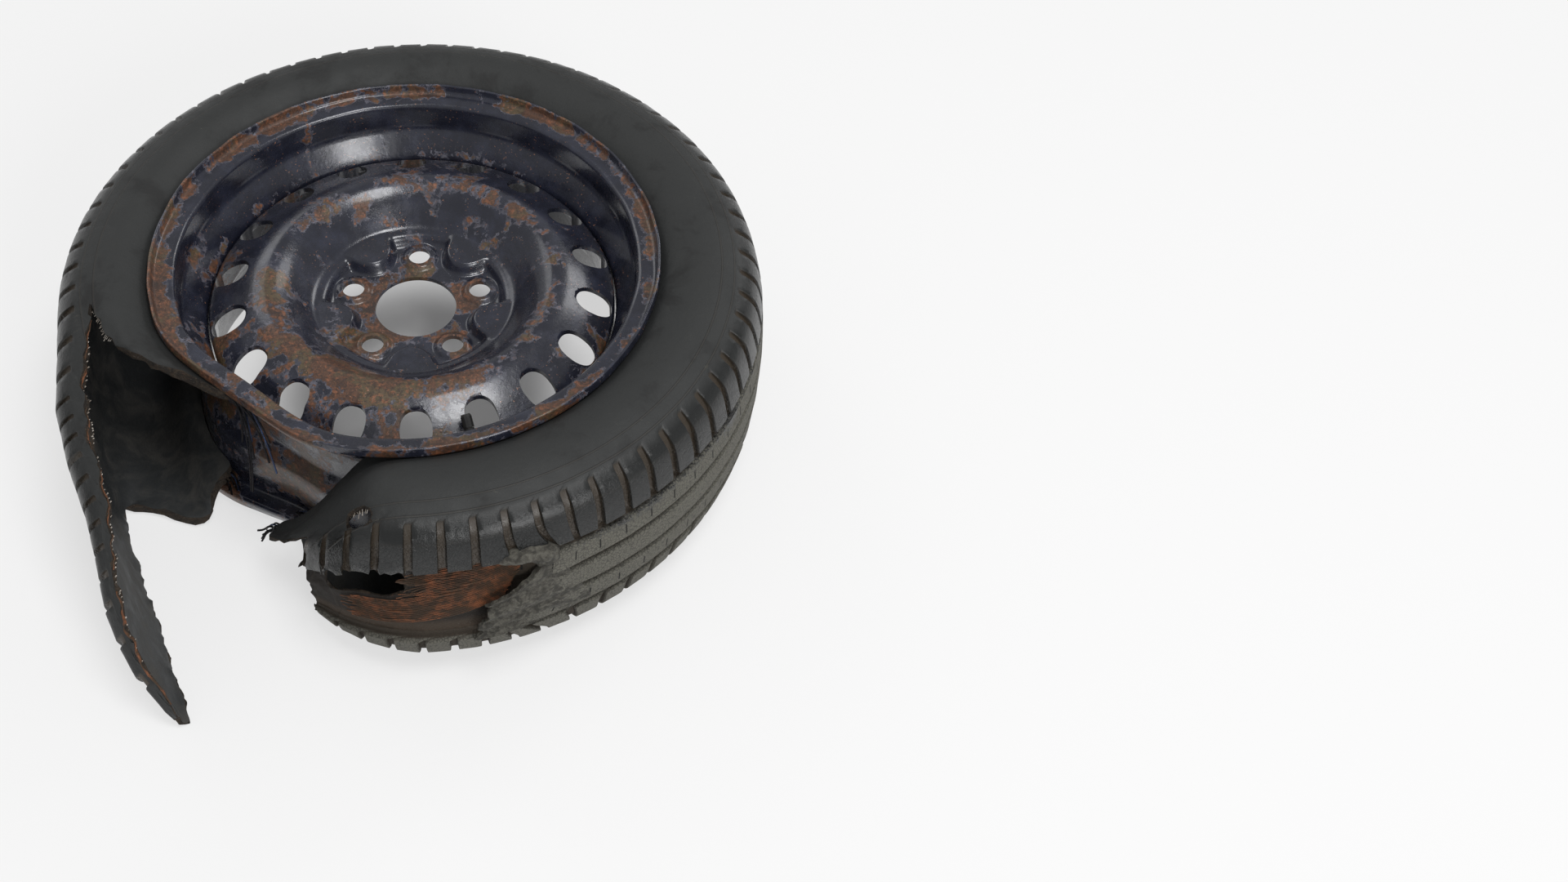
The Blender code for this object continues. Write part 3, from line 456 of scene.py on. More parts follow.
def makeRim():
    t = rimSize["sheet"]
    face = rimSize["halfWidth"]
    top = face + rimSize["curl"]
    tip = flangeTop
    rise = rimLook["tipRise"]
    lean = rimLook["tipLean"]
    inTip = tip - t - rimLook["tipWall"]
    bead = rimSize["beadRadius"]
    seatEnd = face - rimSize["seatWide"]
    well = rimSize["wellRadius"]
    wellTop = rimSize["wellTop"]
    wellLow = rimSize["wellBottom"]
    barrel = rimSize["barrel"]
    outline = [
        (tip, face + rise), (tip - lean, face), (bead, face), (bead, seatEnd - 0.004),
        (well, wellTop - 0.010), (well, wellLow), (barrel, wellLow - 0.022), (bead, -seatEnd),
        (bead, -face), (tip - lean, -face), (tip, -face - rise), (tip - rimLook["tipWall"], -top),
        (tip - t, -top), (inTip, -face - t),
        (bead - t, -face - t), (barrel - t, wellLow - 0.0235), (well - t, wellLow - 0.001),
        (well - t, wellTop - 0.0085), (bead - t, seatEnd - 0.003), (bead - t, face + t), (inTip, face + t),
        (tip - t, top), (tip - rimLook["tipWall"], top),
    ]
    line = roundedLine(outline, rimLook["corner"], True)
    points = []
    for i in range(rimLook["turns"]):
        angle = 360.0 * i / rimLook["turns"]
        for r, z in line:
            point = wheelPoint(r, z, angle)
            lip = smooth((abs(z) - face + rimLook["lipReach"]) / (2.0 * rimLook["lipReach"]))
            ding = noise.noise(Vector((point.x, point.y, z)) * rimLook["dingScale"])
            ding *= rimLook["ding"] * (0.3 + 1.6 * lip)
            points.append(point * (1.0 + ding / max(0.1, point.xy.length)) if lip else point)
    paint = rustyPaint("rimRustyPaint", rimLook["zones"], rimLook["rustLevel"])
    piece = meshPiece("rimShell", points, ringFaces(len(line), rimLook["turns"]), [paint])
    claim(piece, "rim_paint", "rim")


# Disc pressed from sheet

discLook = {
    "sheet": 0.0042, "hubFace": 0.020, "bore": 0.034, "pad": 0.0705, "ledge": 0.0752, "ledgeDrop": 0.0014,
    "dish": 0.0835, "crown": 0.1165, "crownRise": 0.038, "slopeAt": 0.62, "slopeRise": 0.82,
    "ventRise": 0.024, "emboss": 0.0102, "lip": 0.026, "edge": discEdge, "corner": 0.011,
    "bolts": 5, "boltRing": 0.056, "boltHole": 0.0092, "boltStart": 18.0, "boltSides": 28,
    "collar": 0.0172, "collarHigh": 0.0034, "collarSlope": 0.0058,
    "vents": 18, "ventRing": 0.1520, "ventLong": 0.030, "ventWide": 0.026, "ventStart": 213.9,
    "ventSides": 36, "ventSquare": 0.86,
    "arch": {"middle": 0.0800, "deep": 0.0340, "half": 0.0250, "edge": 0.25, "limit": 0.090},
    "turns": 380, "hubGrain": 0.0011, "grain": 0.0024, "uneven": 0.0005, "sharp": 68.0,
    "rustLevel": -0.012, "boltRust": (0.010, 0.024, 0.095),
    "zones": ((0.1165, 0.020, 0.100), (0.038, 0.024, 0.125), (0.168, 0.006, 0.06)),
}


def discLift(r, z, angle):
    # arched plateaus pressed forward between the bolts, and the raised seat round each bolt hole
    turn = 360.0 / discLook["bolts"]
    first = discLook["boltStart"] + turn / 2
    a = math.radians(angleGap(angle, first + turn * round((angle - first) / turn)))
    arch = discLook["arch"]
    reach = math.hypot((r * math.cos(a) - arch["middle"]) / arch["deep"], r * math.sin(a) / arch["half"])
    flat = smooth((1.0 - reach) / arch["edge"]) if r < arch["limit"] else 0.0
    lift = flat * max(0.0, discLook["emboss"] - (z - discLook["hubFace"]))
    nearest = discLook["boltStart"] + turn * round((angle - discLook["boltStart"]) / turn)
    a = math.radians(angleGap(angle, nearest))
    gap = math.hypot(r * math.cos(a) - discLook["boltRing"], r * math.sin(a))
    return lift + discLook["collarHigh"] * smooth((discLook["collar"] - gap) / discLook["collarSlope"])


def evenLine(points):
    # the disc's outline in short steps, finer over the pressed hub
    found = [points[0]]
    for a, b in zip(points, points[1:]):
        gap = discLook["hubGrain"] if b.x < discLook["dish"] else discLook["grain"]
        steps = max(1, round((b - a).length / gap))
        for i in range(1, steps + 1):
            found.append(a.lerp(b, i / steps))
    return found


def cutterPrism(work, outline, radius, angle, low, high):
    a = math.radians(angle)
    levels = []
    for z in (low, high):
        level = []
        for x, y in outline:
            out = radius + x
            spot = Vector((out * math.cos(a) - y * math.sin(a), out * math.sin(a) + y * math.cos(a), z))
            level.append(work.verts.new(spot + axisSpot))
        levels.append(level)
    work.faces.new(levels[0][::-1])
    work.faces.new(levels[1])
    count = len(outline)
    for k in range(count):
        m = (k + 1) % count
        work.faces.new((levels[0][k], levels[0][m], levels[1][m], levels[1][k]))


def makeDisc():
    front = discLook["hubFace"]
    edge = discLook["edge"]
    crown = discLook["crown"]
    vent = front + discLook["ventRise"]
    rise = discLook["crownRise"]
    high = front + rise
    outline = [
        (discLook["bore"], front), (discLook["pad"], front),
        (discLook["ledge"], front + discLook["emboss"] - discLook["ledgeDrop"]),
        (discLook["dish"], front + discLook["emboss"]),
        (mix(discLook["dish"], crown, discLook["slopeAt"]), front + rise * discLook["slopeRise"]),
        (crown, high), (crown + 0.012, high - 0.0025), (discLook["ventRing"] - 0.002, vent + 0.001),
        (edge - 0.0060, vent - 0.0070), (edge, vent - 0.0130), (edge, vent - 0.0130 - discLook["lip"]),
    ]
    line = evenLine(roundedLine(outline, discLook["corner"], False, 5))
    behind = []
    for k, point in enumerate(line):
        way = (line[min(k + 1, len(line) - 1)] - line[max(k - 1, 0)]).normalized()
        behind.append(point + Vector((way.y, -way.x)) * discLook["sheet"])
    ring = line + behind[::-1]
    points = []
    for i in range(discLook["turns"]):
        angle = 360.0 * i / discLook["turns"]
        lifts = [discLift(r, z, angle) for r, z in line]
        for (r, z), lift in zip(ring, lifts + lifts[::-1]):
            point = wheelPoint(r, z + lift, angle)
            point.z += noise.noise(point * 22.0) * discLook["uneven"]
            points.append(point)
    hole, reach, gain = discLook["boltRust"]
    holes = []
    for k in range(discLook["bolts"]):
        a = math.radians(discLook["boltStart"] + 360.0 / discLook["bolts"] * k)
        middle = discLook["boltRing"] * math.cos(a), discLook["boltRing"] * math.sin(a)
        holes.append((*middle, hole, reach, gain))
    paint = rustyPaint("discRustyPaint", discLook["zones"], discLook["rustLevel"], holes)
    piece = meshPiece("pressedDisc", points, ringFaces(len(ring), discLook["turns"]), [paint])
    work = bmesh.new()
    outline = []
    for i in range(discLook["boltSides"]):
        a = math.tau * i / discLook["boltSides"]
        outline.append((discLook["boltHole"] * math.cos(a), discLook["boltHole"] * math.sin(a)))
    for k in range(discLook["bolts"]):
        angle = discLook["boltStart"] + 360.0 / discLook["bolts"] * k
        cutterPrism(work, outline, discLook["boltRing"], angle, front - 0.02, front + 0.02)
    outline = []
    for i in range(discLook["ventSides"]):
        a = math.tau * (i + 0.5) / discLook["ventSides"]
        x = math.copysign(abs(math.cos(a)) ** discLook["ventSquare"], math.cos(a)) * discLook["ventLong"] / 2
        y = math.copysign(abs(math.sin(a)) ** discLook["ventSquare"], math.sin(a)) * discLook["ventWide"] / 2
        outline.append((x, y))
    for k in range(discLook["vents"]):
        angle = discLook["ventStart"] + 360.0 / discLook["vents"] * k
        radius = discLook["ventRing"] - dent(discLook["ventRing"], vent, angle)
        cutterPrism(work, outline, radius, angle, front - 0.004, front + 0.06)
    mesh = bpy.data.meshes.new("discHoles")
    work.to_mesh(mesh)
    work.free()
    cutter = bpy.data.objects.new("discHoles", mesh)
    scene.collection.objects.link(cutter)
    hole = piece.modifiers.new("holes", "BOOLEAN")
    hole.object = cutter
    hole.operation = "DIFFERENCE"
    hole.solver = "EXACT"
    bakeModifiers(piece)
    bpy.data.objects.remove(cutter, do_unlink=True)
    piece.data.shade_smooth()
    piece.data.set_sharp_from_angle(angle=math.radians(discLook["sharp"]))
    claim(piece, "disc_paint", "disc")


makeRim()
print("rim made")
makeDisc()
print("disc made")


# Tyre

tyreSize = {"radius": 0.2915, "halfWidth": 0.095, "treadHalf": 0.070, "crownDrop": 0.006, "carcass": 0.0115,
            "sidewall": 0.009, "bead": 0.014, "grooveDeep": 0.007, "grooveWide": 0.008, "centreRib": 0.022,
            "secondRib": 0.021, "slotDeep": 0.0048, "slotShare": 0.24, "slotWall": 0.02, "pitches": 72,
            "beadFit": 0.0004, "slotSlant": 0.9, "ragged": 0.0032, "levels": 2}
burst = {"slackShift": (0.0060, -0.0055), "firstAngle": 251.0, "upperSplit": 60, "lowerSplit": 63,
         "stripStations": 12, "tornDeep": 0.0085, "tornEnd": 286.5, "flapSlant": 3.2}
tyreLook = {
    "side": (0.0215, 0.0228, 0.0226), "sideDark": (0.011, 0.011, 0.011), "shoulder": (0.012, 0.0130, 0.0130),
    "dust": (0.125, 0.120, 0.100), "slotFloor": (0.040, 0.031, 0.022), "grime": (0.055, 0.044, 0.032),
    "torn": (0.017, 0.0145, 0.0125), "tornBrown": (0.050, 0.036, 0.025), "beltDark": (0.016, 0.012, 0.009),
    "liner": (0.026, 0.028, 0.029),
}
pitchAngle = 360.0 / tyreSize["pitches"]
# where the walls of a shoulder slot lie in its pitch
slotParts = (0.0, tyreSize["slotWall"], tyreSize["slotShare"], tyreSize["slotShare"] + tyreSize["slotWall"])


def crown(z):
    return tyreSize["radius"] - tyreSize["crownDrop"] * (z / tyreSize["treadHalf"]) ** 2


def upperRows():
    seat = rimSize["beadRadius"] + tyreSize["beadFit"]
    face = rimSize["halfWidth"] - tyreSize["beadFit"]
    bulge = tyreSize["halfWidth"] - rimSize["halfWidth"]
    side = tyreSize["radius"] - flangeTop
    wall = tyreSize["sidewall"]
    edge = tyreSize["treadHalf"]
    outerGroove = tyreSize["centreRib"] / 2 + tyreSize["grooveWide"] + tyreSize["secondRib"]
    second = tyreSize["centreRib"] / 2 + tyreSize["grooveWide"]
    floorA = crown(outerGroove) - tyreSize["grooveDeep"]
    floorB = crown(second) - tyreSize["grooveDeep"]
    back = tyreSize["radius"] - tyreSize["carcass"]
    slope = 0.001
    rows = [
        ("heel", seat + 0.0006, face, (seat, face - tyreSize["bead"] - 0.005), 0.0, False),
        ("flange", flangeTop - 0.0018, face, (flangeTop - 0.001, face - tyreSize["bead"]), 0.0, False),
        ("rimLine", flangeTop + 0.0055, face + bulge * 0.38,
         (flangeTop + 0.0065, face + bulge * 0.38 - wall - 0.002), 0.0, False),
        ("side", flangeTop + side * 0.31, face + bulge * 0.99,
         (flangeTop + side * 0.30, face + bulge * 0.99 - wall), 0.0, False),
        ("tear", flangeTop + side * 0.55, face + bulge * 0.86,
         (flangeTop + side * 0.53, face + bulge * 0.86 - wall), 0.0, False),
        ("slotEnd", flangeTop + side * 0.72, face + bulge * 0.52,
         (flangeTop + side * 0.68, face + bulge * 0.52 - wall - 0.001), 0.0, True),
        ("slotTop", flangeTop + side * 0.745, edge + 0.0143, None, tyreSize["slotDeep"] * 0.85, True),
        ("shoulder", flangeTop + side * 0.86, edge + 0.0075, None, tyreSize["slotDeep"] * 0.9, True),
        ("treadEdge", crown(edge) - 0.001, edge - 0.003, None, tyreSize["slotDeep"], True),
        ("grooveEdge", crown(outerGroove + tyreSize["grooveWide"]), outerGroove + tyreSize["grooveWide"],
         (back - 0.0015, outerGroove + tyreSize["grooveWide"] - 0.003), tyreSize["slotDeep"], True),
        ("grooveFloorA", floorA, outerGroove + tyreSize["grooveWide"] - slope, None, 0.0, False),
        ("grooveFloorB", floorA, outerGroove + slope, None, 0.0, False),
        ("ribA", crown(outerGroove), outerGroove, None, 0.0, False),
        ("ribB", crown(second), second, None, 0.0, False),
        ("centreFloorA", floorB, second - slope, None, 0.0, False),
        ("centreFloorB", floorB, second - tyreSize["grooveWide"] + slope, None, 0.0, False),
        ("centreRib", crown(second - tyreSize["grooveWide"]), second - tyreSize["grooveWide"],
         (back, second - tyreSize["grooveWide"] - 0.001), 0.0, False),
    ]
    return rows


def allRows():
    rows = []
    for name, r, z, inner, slot, fine in upperRows():
        rows.append({"name": "u" + name[0].upper() + name[1:], "r": r, "z": z, "inner": inner,
                     "slot": slot, "fine": fine})
    for row in reversed(rows[:]):
        inner = row["inner"]
        if inner is not None:
            inner = (inner[0], -inner[1])
        rows.append({"name": "l" + row["name"][1:], "r": row["r"], "z": -row["z"], "inner": inner,
                     "slot": row["slot"], "fine": row["fine"]})
    return rows


tyreRows = allRows()
rowNames = [row["name"] for row in tyreRows]
tearRow = rowNames.index("uTear")
lowerTearRow = rowNames.index("lSlotEnd")


def angleAt(station):
    return burst["firstAngle"] + pitchAngle * station


# How the slack tyre sinks in toward the burst: turns are where a movement begins, reaches how far it takes
sag = {"still": 274.0, "turn": 270.0, "reach": 32.0, "start": 0.205, "squeeze": 0.66,
       "tuck": 0.066, "tuckTurn": 272.0, "tuckReach": 31.0, "tuckPower": 1.6,
       "free": 0.026, "freeTurn": 264.0, "freeReach": 20.0}


def collapse(radius, z, turn):
    if turn > sag["still"]:
        return radius, z
    fall = smooth((sag["turn"] - turn) / sag["reach"])
    outer = smooth((radius - sag["start"]) / (tyreSize["radius"] - sag["start"]))
    tuck = 0.0
    if turn < sag["tuckTurn"]:
        tuck = sag["tuck"] * ((sag["tuckTurn"] - turn) / sag["tuckReach"]) ** sag["tuckPower"]
    floor = -tyreSize["halfWidth"]
    squeeze = 1.0 - sag["squeeze"] * fall
    if z < 0.0:
        squeeze = mix(1.0, squeeze, smooth((radius - flangeTop - 0.004) / 0.030))
    sunk = floor + (z - floor) * squeeze
    free = smooth((sag["freeTurn"] - turn) / sag["freeReach"]) * (1.0 - outer) * smooth((z + 0.03) / 0.09)
    return radius - tuck * outer + sag["free"] * free, sunk


def skin(radius, z, angle):
    r, height = collapse(radius, z, angle)
    bead = 1.0 - smooth((radius - flangeTop) / 0.040)
    r = r - dent(rimSize["beadRadius"], z, angle) * bead
    a = math.radians(angle)
    slack = smooth((radius - flangeTop - 0.006) / 0.045)
    x = r * math.cos(a) + burst["slackShift"][0] * slack
    y = r * math.sin(a) + burst["slackShift"][1] * slack
    return Vector((x, y, height))


# Edges of the torn strip, wheel axis at x = y = 0: station, lower edge, upper edge,
# how much of the tread's bulge is left and how thick the band still is.
stripPath = (
    (63.0, (-0.2460, -0.1290, -0.0945), (-0.2400, -0.1350, 0.0780), 0.70, 1.00),
    (66.0, (-0.2310, -0.1730, -0.0948), (-0.2270, -0.1830, 0.0700), 0.55, 1.00),
    (68.5, (-0.2130, -0.2160, -0.0948), (-0.2110, -0.2270, 0.0590), 0.46, 0.94),
    (70.5, (-0.1990, -0.2460, -0.0947), (-0.2050, -0.2600, 0.0410), 0.40, 0.86),
    (72.3, (-0.1860, -0.2780, -0.0946), (-0.2030, -0.2900, 0.0120), 0.32, 0.76),
    (73.8, (-0.1740, -0.3060, -0.0945), (-0.1940, -0.3140, -0.0280), 0.24, 0.62),
    (75.0, (-0.1630, -0.3320, -0.0940), (-0.1700, -0.3350, -0.0790), 0.12, 0.40),
)


def stripFrame(station):
    for a, b in zip(stripPath, stripPath[1:]):
        if station <= b[0]:
            break
    share = (station - a[0]) / (b[0] - a[0])
    low = Vector(a[1]).lerp(Vector(b[1]), share)
    high = Vector(a[2]).lerp(Vector(b[2]), share)
    along = Vector(b[1]) - Vector(a[1])
    along = (along + (Vector(b[2]) - Vector(a[2]))).normalized()
    return low, high, along, mix(a[3], b[3], share), mix(a[4], b[4], share)


def bandPoint(radius, z, station, back):
    lower = tyreRows[lowerTearRow]
    upper = tyreRows[tearRow]
    up = (z - lower["z"]) / (upper["z"] - lower["z"])
    chord = mix(lower["r"], upper["r"], up)
    if station >= burst["lowerSplit"]:
        low, high, along, bulge, thick = stripFrame(station)
        outward = (high - low).cross(along).normalized()
        if outward.dot(low) < 0.0:
            outward = -outward
    else:
        share = (station - burst["upperSplit"]) / (burst["lowerSplit"] - burst["upperSplit"])
        a = math.radians(angleAt(burst["upperSplit"]))
        low0 = skin(lower["r"], lower["z"], angleAt(burst["upperSplit"]))
        high0 = skin(upper["r"], upper["z"], angleAt(burst["upperSplit"]))
        low1, high1, along, bulge, thick = stripFrame(float(burst["lowerSplit"]))
        bulge = mix(1.0, bulge, share)
        low = low0.lerp(low1, share)
        high = high0.lerp(high1, share)
        out0 = Vector((math.cos(a), math.sin(a), 0.0))
        out1 = (high1 - low1).cross(along).normalized()
        if out1.dot(low1) < 0.0:
            out1 = -out1
        outward = out0.lerp(out1, share).normalized()
    return low.lerp(high, up) + outward * ((back - chord) * bulge + (radius - back) * thick)


# First and last station of the rows that don't run the whole way, which shape the torn ends
rowStart = {"uHeel": -2, "uFlange": -2, "uRimLine": -2, "uSide": -1,
            "lHeel": -2, "lFlange": -2, "lRimLine": -2, "lSide": -1}
rowEnd = {"uHeel": 67, "uFlange": 67, "uRimLine": 65, "uSide": 64, "uTear": 62,
          "lHeel": 65, "lFlange": 65, "lRimLine": 65, "lSide": 66, "lTear": 64}
lastStation = burst["lowerSplit"] + burst["stripStations"]
holeStations = (1, 2, 3)
sideTearStations = (2,)
holeRows = (rowNames.index("uGrooveEdge"), rowNames.index("uCentreRib"))


def torn(z, turn):
    second = tyreSize["centreRib"] / 2 + tyreSize["grooveWide"]
    top = second + tyreSize["secondRib"] + tyreSize["grooveWide"] - 0.0005
    bottom = -second - tyreSize["secondRib"] - 0.0005
    if turn > burst["tornEnd"] or turn < 240.0 or z > top or z < bottom:
        return 0.0
    return burst["tornDeep"]


# The tread lifted off the belt at the right end of the bared cords, by station and height
lifted = {"from": 6.5, "to": 9.5, "middle": 8.0, "reach": 1.6, "fadeFrom": 0.066, "fade": 0.018, "half": 0.035,
          "end": 8.5, "wide": 0.042, "inner": 0.012, "high": 0.0035, "highInner": 0.002, "turn": 280.0}


def outerPlace(row, station):
    info = tyreRows[row]
    angle = angleAt(station)
    r = info["r"]
    z = info["z"]
    if info["fine"]:
        angle += tyreSize["slotSlant"] * (z / tyreSize["treadHalf"] - 1.0) * (1.0 if z > 0.0 else 0.0)
        if inSlot(row, station):
            r -= info["slot"]
    if lifted["from"] < station < lifted["to"]:
        slant = burst["flapSlant"] * smooth((lifted["fadeFrom"] - abs(z)) / lifted["fade"])
        slant *= max(-1.3, min(0.8, z / lifted["half"]))
        angle += slant * (1.0 - abs(station - lifted["middle"]) / lifted["reach"])
        if torn(z, lifted["turn"]) and station < lifted["end"]:
            angle += 0.5 * wobble(row, 3) + (3.1 if station < 7.5 else 0.0)
    missing = torn(z, angleAt(station))
    if missing:
        r = crown(z) - missing
    elif lifted["middle"] <= station <= lifted["end"] and abs(z) < lifted["wide"]:
        r += lifted["high"] if abs(z) > lifted["inner"] else lifted["highInner"]
    return r, z, angle


def backRadius(row):
    info = tyreRows[row]
    if info["inner"] is not None:
        return info["inner"][0]
    before = row
    while tyreRows[before]["inner"] is None:
        before -= 1
    after = row
    while tyreRows[after]["inner"] is None:
        after += 1
    a = tyreRows[before]
    b = tyreRows[after]
    return mix(a["inner"][0], b["inner"][0], (info["z"] - a["z"]) / (b["z"] - a["z"]))


def place(row, station, layer, loose):
    info = tyreRows[row]
    band = tearRow <= row <= lowerTearRow and not loose
    r, z, angle = outerPlace(row, station)
    if layer == "in":
        r, z = info["inner"]
    if band and station > burst["upperSplit"]:
        return bandPoint(r, z, station, backRadius(row))
    if row == tearRow and loose:
        r -= 0.004 * (station - burst["upperSplit"])
        z -= 0.003 * (station - burst["upperSplit"])
    return skin(r, z, angle)


class TyreShell:
    # outer and inner skin of the tyre, closed along every torn edge

    def __init__(self):
        self.points = []
        self.index = {}
        self.partner = {}
        self.outer = []
        self.inner = []

    def vertex(self, row, station, layer, loose):
        key = (row, round(station * 1000), layer, loose)
        if key not in self.index:
            self.index[key] = len(self.points)
            self.points.append(place(row, station, layer, loose))
        return self.index[key]

    def out(self, row, station, loose=""):
        vertex = self.vertex(row, station, "out", loose)
        major = row
        step = -1 if row < len(tyreRows) // 2 else 1
        while tyreRows[major]["inner"] is None:
            major += step
        if vertex not in self.partner:
            self.partner[vertex] = self.vertex(major, math.floor(station + 1e-6), "in", loose)
        return vertex

    def fan(self, chainA, chainB, faces):
        i = 0
        j = 0
        while i < len(chainA) - 1 or j < len(chainB) - 1:
            doneA = i / max(1, len(chainA) - 1)
            doneB = j / max(1, len(chainB) - 1)
            if j == len(chainB) - 1 or (i < len(chainA) - 1 and doneA <= doneB):
                faces.append((chainA[i], chainA[i + 1], chainB[j]))
                i += 1
            else:
                faces.append((chainA[i], chainB[j + 1], chainB[j]))
                j += 1

    def run(self, row, first, last, layer, loose):
        found = []
        for station in range(first, last + 1):
            name = loose if self.isLoose(row, station, loose) else ""
            if layer == "out":
                found.append(self.out(row, station, name))
            else:
                found.append(self.vertex(row, station, "in", name))
            if layer == "out" and tyreRows[row]["fine"] and station < last:
                for part in slotParts[1:]:
                    found.append(self.out(row, station + part, name))
        return found

    def isLoose(self, row, station, loose):
        return loose != "" and row == tearRow and station > burst["upperSplit"]

    def sheet(self, rowA, rowB, spanA, spanB, layer, loose, skip=()):
        faces = self.outer if layer == "out" else self.inner
        first = max(spanA[0], spanB[0])
        last = min(spanA[1], spanB[1])
        for station in range(first, last):
            if station in skip:
                continue
            a = self.run(rowA, station, station + 1, layer, loose)
            b = self.run(rowB, station, station + 1, layer, loose)
            if len(a) == len(b):
                for k in range(len(a) - 1):
                    faces.append((a[k], a[k + 1], b[k + 1], b[k]))
            else:
                self.fan(a, b, faces)
        for a, b, span in ((rowA, rowB, spanA), (rowB, rowA, spanB)):
            if span[0] < first:
                chain = self.run(a, span[0], first, layer, loose)
                self.fan(chain, self.run(b, first, first, layer, loose), faces)
            if span[1] > last:
                chain = self.run(a, last, span[1], layer, loose)
                self.fan(chain, self.run(b, last, last, layer, loose), faces)

    def walls(self):
        seen = {}
        for face in self.outer:
            for k in range(len(face)):
                a = face[k]
                b = face[(k + 1) % len(face)]
                seen.setdefault(frozenset((a, b)), []).append((a, b))
        found = []
        for pairs in seen.values():
            if len(pairs) != 1:
                continue
            a, b = pairs[0]
            pa = self.partner[a]
            pb = self.partner[b]
            if pa == pb:
                found.append((a, b, pa))
            else:
                found.append((a, b, pb, pa))
        return found


def rowSpan(name):
    return rowStart.get(name, 0), rowEnd.get(name, lastStation)


def fillLayer(shell, layer):
    if layer == "out":
        used = list(range(len(tyreRows)))
    else:
        used = [k for k in range(len(tyreRows)) if tyreRows[k]["inner"] is not None]
    for a, b in zip(used, used[1:]):
        spanA = rowSpan(rowNames[a])
        spanB = rowSpan(rowNames[b])
        skip = ()
        if holeRows[0] <= a and b <= holeRows[1]:
            skip = holeStations
        if a == tearRow:
            skip = sideTearStations
        if b == tearRow:
            shell.sheet(a, b, spanA, spanB, layer, "freeUpper")
        elif b <= tearRow:
            shell.sheet(a, b, spanA, spanB, layer, "")
        elif a == tearRow:
            shell.sheet(a, b, (0, lastStation), spanB, layer, "", skip)
        elif a == lowerTearRow:
            shell.sheet(a, b, (spanA[0], burst["lowerSplit"]), spanB, layer, "")
        else:
            shell.sheet(a, b, spanA, spanB, layer, "", skip)


def beadSection(side, station, share):
    # corners of a smaller section inside the bead at a station
    heel = rowNames.index(side + "Heel")
    flange = rowNames.index(side + "Flange")
    corners = []
    for row, layer in ((heel, "out"), (flange, "out"), (flange, "in"), (heel, "in")):
        corners.append(place(row, station, layer, ""))
    centre = sum(corners, Vector()) / 4.0
    return [centre.lerp(corner, share) for corner in corners]


def inSlot(row, station):
    part = station - math.floor(station)
    return tyreRows[row]["fine"] and tyreSize["slotWall"] - 1e-6 < part < tyreSize["slotShare"] + 1e-6


def placeFacts(row, station):
    # what the material needs to know at one vertex: design radius, height, turn, slot floor, bared belt
    r, z, angle = outerPlace(row, station)
    slot = inSlot(row, station)
    bare = torn(z, angle) > 0.0
    return r, z, angleAt(station), float(slot and row != slotEndRow), float(bare)


slotEndRow = rowNames.index("uSlotEnd")
sharpRows = {rowNames.index(side + name) for side in "ul" for name in (
    "GrooveEdge", "GrooveFloorA", "GrooveFloorB", "RibA", "RibB", "CentreFloorA", "CentreFloorB",
    "CentreRib")}


def tyreCage():
    shell = TyreShell()
    fillLayer(shell, "out")
    fillLayer(shell, "in")
    tornFaces = shell.walls()
    faces = shell.outer + shell.inner + tornFaces
    slots = [0] * len(shell.outer) + [1] * len(shell.inner) + [2] * len(tornFaces)
    for side in ("u", "l"):
        heel = rowNames.index(side + "Heel")
        first, last = rowSpan(side + "Heel")
        known = {frozenset(face) for face in faces if len(face) == 4}
        for station in range(first, last):
            a = shell.out(heel, station)
            b = shell.out(heel, station + 1)
            face = (a, b, shell.partner[b], shell.partner[a])
            if frozenset(face) not in known:
                faces.append(face)
                slots.append(0)
    edge = set()
    for face in tornFaces:
        edge.update(face)
    return shell, faces, slots, edge


def makeTyre():
    shell, faces, slots, edge = tyreCage()
    materials = [makeRubber(), makeLiner(), makeTornRubber()]
    piece = meshPiece("burstTyre", shell.points, faces, materials, slots, 180.0)
    slotMarks = [round(1000 * part) for part in slotParts]
    mesh = piece.data
    keys = {}
    for key, index in shell.index.items():
        keys[index] = key
    crease = mesh.attributes.new("crease_edge", "FLOAT", "EDGE")
    sides = {}
    for polygon in mesh.polygons:
        for pair in polygon.edge_keys:
            sides.setdefault(pair, set()).add(polygon.material_index)
    values = []
    for item in mesh.edges:
        a, b = item.vertices
        rowA, stationA, layerA = keys[a][:3]
        rowB, stationB, layerB = keys[b][:3]
        value = 0.0
        if len(sides[item.key]) > 1:
            value = 0.9
        elif layerA == "out" and layerB == "out":
            if rowA == rowB and rowA in sharpRows:
                value = 0.85
            elif rowA != rowB and tyreRows[rowA]["fine"] and tyreRows[rowB]["fine"]:
                if stationA == stationB and stationA % 1000 in slotMarks:
                    value = 0.85
            if rowA == rowB and rowNames[rowA][1:] in ("Heel", "Flange"):
                value = 0.6
        values.append(value)
    crease.data.foreach_set("value", values)
    spots = mesh.attributes.new("wheelPlace", "FLOAT_VECTOR", "POINT")
    wear = mesh.attributes.new("wheelWear", "FLOAT_VECTOR", "POINT")
    flatSpots = []
    flatWear = []
    for index in range(len(shell.points)):
        row, station = keys[index][:2]
        r, z, turn, slot, bare = placeFacts(row, station / 1000.0)
        flatSpots += [r, z, turn]
        flatWear += [slot, bare, 1.0 if index in edge else 0.0]
    spots.data.foreach_set("vector", flatSpots)
    wear.data.foreach_set("vector", flatWear)
    rounding = piece.modifiers.new("rounding", "SUBSURF")
    rounding.levels = tyreSize["levels"]
    rounding.render_levels = tyreSize["levels"]
    bakeModifiers(piece)
    roughenTyre(piece.data)
    piece.data.shade_smooth()
    piece.data.set_sharp_from_angle(angle=math.radians(48.0))
    claim(piece, "tyre_rubber", "tyre")


def ragged(spot):
    # shift of a torn edge at a place in the scene
    return (noise.noise_vector(spot * 75.0) + noise.noise_vector(spot * 210.0) * 0.55) * tyreSize["ragged"]


